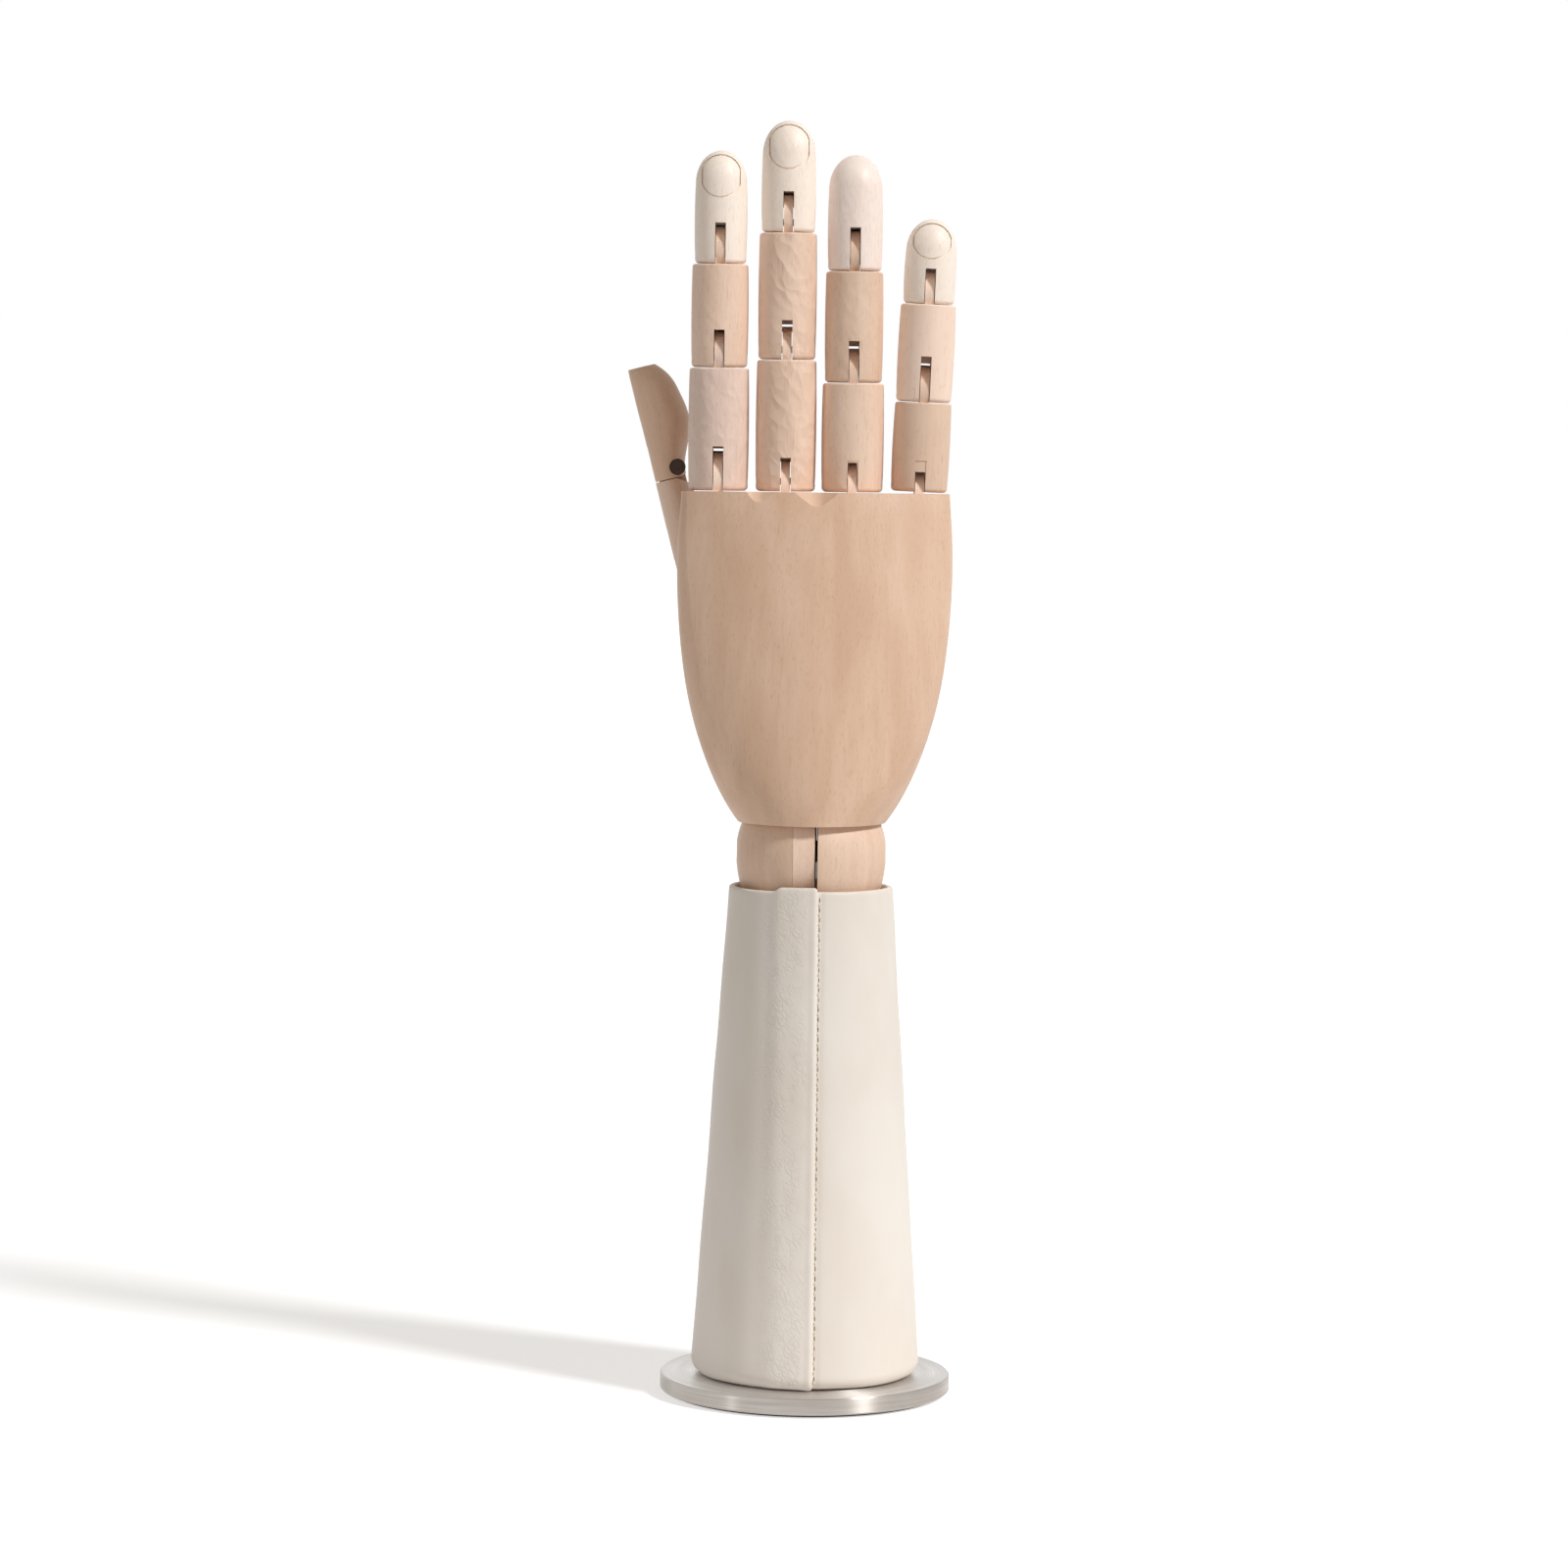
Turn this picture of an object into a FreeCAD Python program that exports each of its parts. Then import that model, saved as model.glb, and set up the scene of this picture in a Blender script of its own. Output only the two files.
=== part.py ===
"""A jointed wooden hand on a sleeved forearm and a round steel base, in millimetres.

+Z is up. The origin is the middle of the underside. The back of the hand faces -Y, the thumb is at -X,
and every finger bends towards +Y.
"""

import FreeCAD
import Part

import math
import os
from dataclasses import dataclass

V = FreeCAD.Vector
X_AXIS, Y_AXIS, Z_AXIS = V(1, 0, 0), V(0, 1, 0), V(0, 0, 1)

# Clearances
FACE_GAP = 0.3  # between the end faces of two jointed pieces
SLOT_GAP = 0.25  # on each side of a tongue in its slot
PIN_GAP = 0.05  # round a pin in its hole
OVERRUN = 2.0  # how far a cut runs past the surface that it opens

# Base
PAD_THICKNESS = 1.0
PAD_INSET = 3.0
PLATE_DIAMETER = 100.0
PLATE_THICKNESS = 5.7
PLATE_EDGE = 0.5
BASE_SCREW_COUNT = 3
BASE_SCREW_CIRCLE = 48.0
BASE_SCREW_DIAMETER = 4.5
BASE_SCREW_HEAD = 9.0
BASE_SCREW_BITE = 20.0

# Forearm
FOREARM_HEIGHT = 168.8
FOREARM_BOTTOM_DIAMETER = 79.2
FOREARM_TOP_DIAMETER = 56.0
SLEEVE_THICKNESS = 1.5
SLEEVE_FIT = 0.1
COLLAR_DEPTH = 5.6  # from the rim of the sleeve down to the wood
SLEEVE_FOOT = 4.5  # the radius of its rounded lower edge
CORE_FOOT = 5.0  # the bevel of the wood behind that edge
SHANK_DIAMETER = 38.0
SHANK_LENGTH = 36.0
WEB_THICKNESS = 12.0
CAVITY_DIAMETER = 30.0
BOLT_DIAMETER = 8.0
BOLT_BITE = 22.0
BOLT_HEAD = 13.0
BOLT_HEAD_HEIGHT = 5.3
HEX_SIDES = 6
WASHER_DIAMETER = 22.0
WASHER_THICKNESS = 2.0

# Wrist
BALL_DIAMETER = 51.6
BALL_SIDE_RADIUS = 45.0  # the flatter curve of the ball below its middle
BALL_DROP = 17.0  # from the wrist pin down to the shoulder of the ball
WRIST_TONGUE_THICKNESS = 7.4
WRIST_TONGUE_RADIUS = 24.9
WRIST_TONGUE_OFFSET = -2.6
WRIST_SIDE_GAP = 1.0  # the open side of the slot
WRIST_FIT = 0.1  # the tight side of the slot
WRIST_TONGUE_WIDTH = 26.0
WRIST_TONGUE_BITE = 36.0
WRIST_PIN_DIAMETER = 7.4
WRIST_PIN_RECESS = 0.6
CUP_GAP = 0.5

# Palm
PALM_HEIGHT = 112.7
PALM_WIDTH = 93.8
PALM_DEPTH = 50.8
PALM_LIFT = 10.3  # from the wrist pin up to the lower rim
SCALLOPS = ((-20.2, 5.2), (0.4, 4.7), (28.2, 4.2))  # the middle and the depth of each
SCALLOP_SLOPE = 36.0  # degrees that its flanks climb
SCALLOP_ROUND = 4.0
SCALLOP_CLIMB = 48.0  # degrees that its floor climbs towards the fingers
PALM_OVAL_CORNER = 58.0  # degrees of each quarter of the palm's ovals that the tighter arc takes
# height, half width, front and back, of PALM_HEIGHT, PALM_WIDTH / 2 and PALM_DEPTH / 2
PALM_SHARES = [
    (0.0, 0.541, 1.07, 1.0),
    (0.084, 0.668, 1.12, 0.93),
    (0.173, 0.765, 1.14, 0.8),
    (0.353, 0.9, 1.11, 0.67),
    (0.532, 0.97, 1.06, 0.62),
    (0.71, 1.0, 0.97, 0.59),
    (0.845, 1.0, 0.88, 0.56),
    (1.0, 0.976, 0.76, 0.52),
]

# Finger joints
PIN_HEIGHT = 3.7  # a pin above the flat top of the lower piece
PIN_DIAMETER = 2.4
PIN_RECESS = 0.9
SLOT_WIDTH = 3.6
WINDOW_HEIGHT = 0.8  # of the daylight that shows through a slot
BEND_BEVEL = 35.0  # degrees, on each of the two pieces
END_ROUND = 1.4
END_BEVEL = 0.5
BELLY = 0.25  # how far a turned side swells
TONGUE_INSET = 0.5
TONGUE_HEADROOM = 0.5  # below the top of its slot
TONGUE_BACK = 5.2  # its highest lit point above its middle
SLOT_WALL = 1.5  # the least thickness of the wood that closes a slot towards the palm
TONGUE_BITE = 11.0
NAIL_DEPTH = 0.5
NAIL_LINE = 0.55  # the width of the carved line round a nail
NAIL_TIP = 1.5  # from the upper end of a nail to the fingertip

# Thumb
THUMB_OVAL_CORNER = 45.0
THUMB_LEAN = 14.2
THUMB_PLANE = 28.5
THUMB_DEPTH = 19.0
THUMB_BASE_LEFT = -45.6
THUMB_BASE_TOP = 273.4
THUMB_LENGTH = 40.4  # from the top of the base to the upper joint
THUMB_TIP_LENGTH = 40.2
THUMB_WIDTH = 19.0
THUMB_PIN_SETBACK = 8.9  # the upper pin from the nail side
THUMB_PIN_DIAMETER = 3.0
THUMB_SCREW_HEAD = 5.6
THUMB_SCREW_HEAD_DEPTH = 1.6
THUMB_SLOT = 12.9
THUMB_TONGUE = 9.4
THUMB_BASE_LENGTH = 50.0
THUMB_FACE_SHARE = 0.9  # the flat of the thumb at a joint, of THUMB_DEPTH / 2
THUMB_TONGUE_SHARES = ((0.03, 0.97), (0.03, 0.57))  # how far the two tongues reach, of THUMB_WIDTH
SEAT_DIAMETER = 26.0
SEAT_DEPTH = 5.6
SEAT_DROP = 27.0
SEAT_SETBACK = 15.0
SWIVEL_SCREW_DIAMETER = 5.0
SWIVEL_SCREW_HEAD = 9.0
SWIVEL_SCREW_HEAD_DEPTH = 3.0
SWIVEL_SCREW_BITE = 9.0
# height, nail side, pad side and half depth, of the piece's length, THUMB_WIDTH and THUMB_DEPTH / 2
THUMB_TIP_SHARES = [
    (0.0, 0.0, 0.6, 0.92),
    (0.25, 0.0, 0.735, 1.0),
    (0.54, -0.005, 0.88, 1.0),
    (0.71, -0.01, 0.82, 0.94),
    (0.84, -0.01, 0.745, 0.82),
    (0.95, -0.01, 0.6, 0.62),
    (1.0, -0.005, 0.5, 0.48),
]
THUMB_MIDDLE_SHARES = [
    (0.0, 0.0, 1.0, 1.0),
    (0.35, 0.0, 0.91, 1.02),
    (0.7, 0.0, 0.73, 0.98),
    (1.0, 0.0, 0.595, 0.92),
]
THUMB_BASE_SHARES = [
    (-1.0, 0.55, 0.95, 0.5),
    (-0.9, 0.33, 1.18, 0.86),
    (-0.62, 0.06, 1.33, 1.0),
    (-0.28, -0.05, 1.22, 1.0),
    (0.0, -0.06, 1.03, 1.0),
]

# Heights of the stack
PLATE_TOP = PAD_THICKNESS + PLATE_THICKNESS
SLEEVE_TOP = PLATE_TOP + FOREARM_HEIGHT
CORE_TOP = SLEEVE_TOP - COLLAR_DEPTH
WRIST_PIN_Z = CORE_TOP + FACE_GAP + BALL_DROP
PALM_BOTTOM = WRIST_PIN_Z + PALM_LIFT
PALM_TOP = PALM_BOTTOM + PALM_HEIGHT
WEB_TOP = CORE_TOP + FACE_GAP - SHANK_LENGTH - FACE_GAP


@dataclass(frozen=True)
class Joint:
    """One finger joint, measured from the flat top of its lower piece.

    Attributes:
        height: the joint above the palm.
        slot: how high the slot of the upper piece reaches.
        tongue: how high the front of the lower piece's tongue reaches.
        window: how far below the top of the slot daylight shows through, or zero.
    """

    height: float
    slot: float
    tongue: float
    window: float = 0.0


@dataclass(frozen=True)
class Finger:
    """A finger of three turned pieces, from the knuckle to the tip.

    Attributes:
        name: the start of its pieces' names.
        place: its middle, across the palm.
        lean: degrees to the right.
        length: the tip above the palm.
        widths: the widths of its three pieces.
        joints: its knuckle and its two upper joints.
        nail: the length of its nail, or zero.
    """

    name: str
    place: float
    lean: float
    length: float
    widths: tuple
    joints: tuple
    nail: float


FINGERS = (
    Finger(
        "index", -33.4, 0.0, 115.7, (20.2, 19.0, 17.4),
        (Joint(0.0, 15.3, 10.4, 0.7), Joint(41.9, 12.9, 8.8), Joint(77.1, 13.9, 9.8)), 16.4,
    ),
    Finger(
        "middle", -10.4, 0.0, 126.1, (20.2, 19.4, 18.0),
        (Joint(0.0, 11.7, 7.7), Joint(44.8, 13.5, 9.4, 1.0), Joint(87.9, 13.9, 9.8)), 17.0,
    ),
    Finger(
        "ring", 12.4, 0.0, 114.7, (20.8, 19.4, 18.2),
        (Joint(0.0, 10.8, 6.9), Joint(37.2, 14.3, 9.9, 1.4), Joint(75.1, 14.8, 10.4)), 0.0,
    ),
    Finger(
        "little", 35.2, 2.2, 93.4, (19.2, 18.8, 17.2),
        (Joint(0.0, 7.6, 5.9), Joint(31.0, 15.6, 10.2, 2.0), Joint(64.3, 12.1, 8.3)), 14.0,
    ),
)  # fmt: skip
DOME_SHARE = 0.64  # the height of a fingertip's dome, of its piece's width
NAIL_WIDTH_SHARE = 0.76  # a nail, of its piece's width
NAIL_ROUND_SHARE = 0.75  # the height of its round end, of half its width

NOSE_RADIUS = PIN_HEIGHT - FACE_GAP
TONGUE_THICKNESS = SLOT_WIDTH - 2 * SLOT_GAP
BEND = math.radians(BEND_BEVEL)


def turned(points):
    """Returns the solid turned about Z from the outline through the edges given."""
    wire = Part.Wire(points)
    return Part.Face(wire).revolve(V(), Z_AXIS, 360)


def line(a, b):
    """Returns the straight edge from a to b, each (radius, height)."""
    return Part.LineSegment(V(a[0], 0, a[1]), V(b[0], 0, b[1])).toShape()


def arc(a, b, c):
    """Returns the round edge from a through b to c, each (radius, height)."""
    return Part.Arc(V(a[0], 0, a[1]), V(b[0], 0, b[1]), V(c[0], 0, c[1])).toShape()


def chain(*points):
    """Returns the straight edges through the points."""
    return [line(a, b) for a, b in zip(points, points[1:])]


def prism(edges, plane_normal, depth):
    """Returns the solid that a closed outline sweeps, half of the depth to each side of its plane."""
    face = Part.Face(Part.Wire(edges))
    face.translate(plane_normal * (-depth / 2))
    return face.extrude(plane_normal * depth)


def rod(start, along, radius, length):
    """Returns a round bar."""
    return Part.makeCylinder(radius, length, start, along)


def oval(left, right, front, back, height, corner_degrees):
    """Returns a closed wire of tangent arcs that touches its four sides."""
    a, b = (right - left) / 2, (back - front) / 2
    turn = math.radians(corner_degrees)
    shift = (a - b) / (math.cos(turn) + math.sin(turn) - 1)
    corner = b - shift * (1 - math.sin(turn))
    flat = corner + shift

    def at(angle):
        """Returns the point whose outward direction is at that angle, in the first quarter."""
        small = angle <= turn
        radius = corner if small else flat
        x, y = (a - corner, 0) if small else (0, b - flat)
        return x + radius * math.cos(angle), y + radius * math.sin(angle)

    square = math.pi / 2
    quarter = [at(angle) for angle in (0, turn / 2, turn, (turn + square) / 2, square)]
    points = list(quarter)
    points += [(-x, y) for x, y in reversed(quarter[:-1])]
    points += [(-x, -y) for x, y in quarter[1:]]
    points += [(x, -y) for x, y in reversed(quarter[:-1])]
    centre = V((left + right) / 2, (front + back) / 2, height)
    points = [centre + V(x, y, 0) for x, y in points]
    arcs = zip(points[:-2:2], points[1:-1:2], points[2::2])
    return Part.Wire([Part.Arc(*three).toShape() for three in arcs])


def bend_cut(width, height, rounded):
    """Returns what comes off an upper piece below its joint, so that it can bend towards +Y.

    Args:
        width: more than the piece measures across.
        height: more than the bevel climbs.
        rounded: whether the nose is round about the pin, or plain as on a lower piece.
    """
    y_far = width
    if rounded:
        # from straight below the pin, round the nose, then up the bevel
        middle = V(0, NOSE_RADIUS * math.sin(BEND / 2), -NOSE_RADIUS * math.cos(BEND / 2))
        touch = V(0, NOSE_RADIUS * math.sin(BEND), -NOSE_RADIUS * math.cos(BEND))
        run = (y_far - touch.y) / math.cos(BEND)
        end = touch + V(0, math.cos(BEND), math.sin(BEND)) * run
        low = V(0, 0, -NOSE_RADIUS)
        floor = -NOSE_RADIUS - height
        edges = [Part.Arc(low, middle, touch).toShape(), Part.LineSegment(touch, end).toShape()]
        corners = [end, V(0, y_far, floor), V(0, 0, floor), low]
    else:
        # the flat top stops where the bevel clears the nose at every angle
        start = V(0, -PIN_HEIGHT * math.tan(BEND / 2), -PIN_HEIGHT)
        run = (y_far - start.y) / math.cos(BEND)
        end = start + V(0, math.cos(BEND), -math.sin(BEND)) * run
        ceiling = height
        edges = [Part.LineSegment(start, end).toShape()]
        corners = [end, V(0, y_far, ceiling), V(0, start.y, ceiling), start]
    edges += [Part.LineSegment(a, b).toShape() for a, b in zip(corners, corners[1:])]
    return prism(edges, X_AXIS, 2 * width)


def tongue_middle(joint, reach):
    """Returns the height of the middle of a round tongue above its pin."""
    drop = joint.window + WINDOW_HEIGHT if joint.window else 0
    highest = joint.slot - TONGUE_HEADROOM - drop - reach
    return min(joint.tongue - TONGUE_BACK, highest) - PIN_HEIGHT


def tongue_disc(joint, reach):
    """Returns the round plate of a tongue, with its pin at the origin and the bend about X."""
    centre = V(-TONGUE_THICKNESS / 2, 0, tongue_middle(joint, reach))
    return rod(centre, X_AXIS, reach, TONGUE_THICKNESS)


def slot_cut(joint, reach, width):
    """Returns the slot of an upper piece, with its pin at the origin.

    It is open in front to its full height. Towards the palm it is only as high as the tongue needs
    when the joint bends.

    Args:
        joint: the joint.
        reach: the radius of the tongue.
        width: more than the piece measures across.
    """
    middle = tongue_middle(joint, reach)
    off, half = abs(middle), SLOT_WIDTH / 2
    # the tongue's middle moves on an arc about the pin, and this round hollow holds it all the way
    swing = V(-half, -middle * math.sin(BEND), middle * math.cos(BEND))
    radius = reach + 2 * math.sin(BEND / 2) * off + FACE_GAP
    hollow = rod(swing, X_AXIS, radius, SLOT_WIDTH)
    back = width / 2 - SLOT_WALL - swing.y
    back_height = swing.z + math.sqrt(max(radius**2 - back**2, 0))
    top = joint.slot - PIN_HEIGHT
    front = Part.makeBox(SLOT_WIDTH, 2 * width, top + width, V(-half, -2 * width, -width))
    low = Part.makeBox(SLOT_WIDTH, 4 * width, back_height + width, V(-half, -2 * width, -width))
    slot = front.fuse([hollow, low])
    if joint.window:
        window_top = top - joint.window
        slot = slot.fuse(
            Part.makeBox(SLOT_WIDTH, 2 * width, WINDOW_HEIGHT, V(-half, 0, window_top - WINDOW_HEIGHT))
        )  # fmt: skip
    return slot.removeSplitter()


def pin_hole(diameter, length):
    """Returns the hole for a cross pin at the origin."""
    radius = diameter / 2 + PIN_GAP
    return rod(V(-length / 2, 0, 0), X_AXIS, radius, length)


def piece_side(low_width, high_width, bottom, top):
    """Returns the outline of a turned piece from its lower end up its swelling side."""
    low, high = low_width / 2, high_width / 2
    shoulder = bottom + END_ROUND
    middle = (low + high) / 2 + BELLY
    corner = END_ROUND * (1 - math.sqrt(0.5))
    return [
        line((0, bottom), (low - END_ROUND, bottom)),
        arc((low - END_ROUND, bottom), (low - corner, bottom + corner), (low, shoulder)),
        arc((low, shoulder), (middle, (shoulder + top) / 2), (high, top)),
    ]


def flat_piece(low_width, high_width, bottom, top):
    """Returns a turned piece with a flat, bevelled top."""
    edge = top - END_BEVEL
    outline = piece_side(low_width, high_width, bottom, edge)
    high = high_width / 2
    outline += chain((high, edge), (high - END_BEVEL, top), (0, top), (0, bottom))
    return turned(outline)


def domed_piece(low_width, high_width, bottom, top):
    """Returns a fingertip, turned to a dome."""
    edge = top - DOME_SHARE * high_width
    outline = piece_side(low_width, high_width, bottom, edge)
    ellipse = Part.Ellipse(V(0, 0, top), V(high_width / 2, 0, edge), V(0, 0, edge))
    dome = Part.ArcOfEllipse(ellipse, 0, math.pi / 2).toShape()
    outline += [dome, line((0, top), (0, bottom))]
    return turned(outline)


def nail_cut(width, bottom, top, length):
    """Returns the carved line round a nail, round at both ends, in the front of a fingertip."""
    front = -width / 2 - OVERRUN
    solids = []
    for inset in (0, NAIL_LINE):
        half = width * NAIL_WIDTH_SHARE / 2 - inset
        low, high = top - length + inset, top - NAIL_TIP - inset
        bend = half * NAIL_ROUND_SHARE
        low_left, low_right = V(-half, front, low + bend), V(half, front, low + bend)
        high_left, high_right = V(-half, front, high - bend), V(half, front, high - bend)
        edges = [
            Part.LineSegment(low_right, high_right).toShape(),
            Part.Arc(high_right, V(0, front, high), high_left).toShape(),
            Part.LineSegment(high_left, low_left).toShape(),
            Part.Arc(low_left, V(0, front, low), low_right).toShape(),
        ]
        solids.append(Part.Face(Part.Wire(edges)).extrude(V(0, -front, 0)))
    inner = width - 2 * NAIL_DEPTH
    return solids[0].cut(solids[1]).cut(domed_piece(inner, inner, bottom, top - NAIL_DEPTH))


def finger_pieces(finger):
    """Returns the named solids of a finger, placed on the palm, and its knuckle tongue."""
    parts, ends = {}, []
    knuckle_lift = finger.widths[0] / 2 * math.sin(math.radians(finger.lean))
    names = ("proximal", "middle", "distal")
    joints = finger.joints
    for i, (name, width, joint) in enumerate(zip(names, finger.widths, joints)):
        lift = knuckle_lift if i == 0 else 0
        bottom = joint.height + FACE_GAP + lift
        pin = V(0, 0, joint.height + PIN_HEIGHT + lift)
        if i + 1 < len(joints):
            upper = joints[i + 1]
            piece = flat_piece(width, width, bottom, upper.height)
            upper_pin = V(0, 0, upper.height + PIN_HEIGHT)
            bevel = bend_cut(width, width, False)
            bevel.translate(upper_pin)
            disc = tongue_disc(upper, finger.widths[i + 1] / 2 - TONGUE_INSET)
            disc.translate(upper_pin)
            hole = pin_hole(PIN_DIAMETER, width)
            hole.translate(upper_pin)
            piece = piece.cut(bevel).fuse(disc).cut(hole)
        else:
            piece = domed_piece(width, width, bottom, finger.length)
            if finger.nail:
                piece = piece.cut(nail_cut(width, bottom, finger.length, finger.nail))
        nose = bend_cut(width, width, True)
        nose.translate(pin)
        slot = slot_cut(joint, finger.widths[i] / 2 - TONGUE_INSET, width)
        slot.translate(pin)
        hole = pin_hole(PIN_DIAMETER, 2 * width)
        hole.translate(pin)
        parts[f"{finger.name}_{name}"] = piece.cut(nose).cut(slot).cut(hole)
        length = width - 2 * PIN_RECESS
        ends.append((name, rod(pin - V(length / 2, 0, 0), X_AXIS, PIN_DIAMETER / 2, length)))
    for name, solid in ends:
        parts[f"{finger.name}_{name}_pin"] = solid

    knuckle, radius = joints[0], finger.widths[0] / 2 - TONGUE_INSET
    disc = tongue_disc(knuckle, radius)
    # the shank is bevelled like the palm round it, so that the finger clears it
    shank = Part.makeBox(
        TONGUE_THICKNESS, 2 * radius, TONGUE_BITE + min(0, PIN_HEIGHT + tongue_middle(knuckle, radius)),
        V(-TONGUE_THICKNESS / 2, -radius, -TONGUE_BITE - PIN_HEIGHT),
    )  # fmt: skip
    shank = shank.cut(bend_cut(finger.widths[0], finger.widths[0], False))
    tongue = disc.fuse(shank).removeSplitter()
    tongue = tongue.cut(pin_hole(PIN_DIAMETER, finger.widths[0]))
    tongue.translate(V(0, 0, PIN_HEIGHT + knuckle_lift))
    parts[f"{finger.name}_knuckle_tongue"] = tongue

    for solid in parts.values():
        solid.rotate(V(), Y_AXIS, finger.lean)
        solid.translate(V(finger.place, 0, PALM_TOP))
    return parts


def base_parts():
    """Returns the pad, the steel plate and the wood screws that hold the forearm."""
    radius = PLATE_DIAMETER / 2
    pad = rod(V(), Z_AXIS, radius - PAD_INSET, PAD_THICKNESS)
    top, low, edge = PLATE_TOP, PAD_THICKNESS, radius - PLATE_EDGE
    plate = turned(
        chain(
            (0, low), (edge, low), (radius, low + PLATE_EDGE), (radius, top - PLATE_EDGE), (edge, top),
            (0, top), (0, low),
        )
    )  # fmt: skip
    head, shaft = BASE_SCREW_HEAD / 2, BASE_SCREW_DIAMETER / 2
    sink = head - shaft
    end = PLATE_TOP + BASE_SCREW_BITE
    screw = turned(
        chain(
            (0, low), (head, low), (shaft, low + sink), (shaft, end - shaft), (0, end), (0, low),
        )
    )  # fmt: skip
    screws = []
    for i in range(BASE_SCREW_COUNT):
        one = screw.copy()
        one.translate(V(BASE_SCREW_CIRCLE / 2, 0, 0))
        one.rotate(V(), Z_AXIS, 90 + 360 / BASE_SCREW_COUNT * i)
        screws.append(one)
    screws = Part.Compound(screws)
    return {"base_pad": pad, "base_plate": plate.cut(screws), "base_screws": screws}


def forearm_radius(height):
    """Returns the outer radius of the sleeve at a height."""
    share = (height - PLATE_TOP) / FOREARM_HEIGHT
    return (FOREARM_BOTTOM_DIAMETER * (1 - share) + FOREARM_TOP_DIAMETER * share) / 2


def forearm_parts(screws):
    """Returns the turned wooden core and the leatherette sleeve round it."""
    skin = SLEEVE_THICKNESS + SLEEVE_FIT
    foot_top = PLATE_TOP + CORE_FOOT
    low = forearm_radius(PLATE_TOP) - skin - CORE_FOOT
    middle, high = forearm_radius(foot_top) - skin, forearm_radius(CORE_TOP) - skin
    bore = SHANK_DIAMETER / 2 + PIN_GAP
    hole = BOLT_DIAMETER / 2 + PIN_GAP
    cavity = CAVITY_DIAMETER / 2
    web_low = WEB_TOP - WEB_THICKNESS
    core = turned(
        chain(
            (cavity, PLATE_TOP), (low, PLATE_TOP), (middle, foot_top), (high, CORE_TOP), (bore, CORE_TOP),
            (bore, WEB_TOP), (hole, WEB_TOP), (hole, web_low), (cavity, web_low), (cavity, PLATE_TOP),
        )
    ).cut(screws)  # fmt: skip

    half = SLEEVE_THICKNESS / 2
    base = PLATE_TOP + SLEEVE_FOOT
    rim = SLEEVE_TOP - half
    low_out, top_out = forearm_radius(base), forearm_radius(rim)
    lip, inner_foot = low_out - SLEEVE_FOOT, SLEEVE_FOOT - SLEEVE_THICKNESS
    outer_turn, inner_turn = SLEEVE_FOOT * math.sqrt(0.5), inner_foot * math.sqrt(0.5)
    sleeve = turned(
        [
            line((low_out, base), (top_out, rim)),
            arc((top_out, rim), (top_out - half, SLEEVE_TOP), (top_out - 2 * half, rim)),
            line((top_out - 2 * half, rim), (low_out - 2 * half, base)),
            arc((low_out - 2 * half, base), (lip + inner_turn, base - inner_turn), (lip, base - inner_foot)),
            line((lip, base - inner_foot), (lip, PLATE_TOP)),
            arc((lip, PLATE_TOP), (lip + outer_turn, base - outer_turn), (low_out, base)),
        ]
    )
    return {"forearm_core": core, "sleeve": sleeve}


def ball_radius(drop):
    """Returns the radius of the wrist ball at a distance below its pin."""
    return BALL_DIAMETER / 2 - BALL_SIDE_RADIUS + math.sqrt(BALL_SIDE_RADIUS**2 - drop**2)


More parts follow.
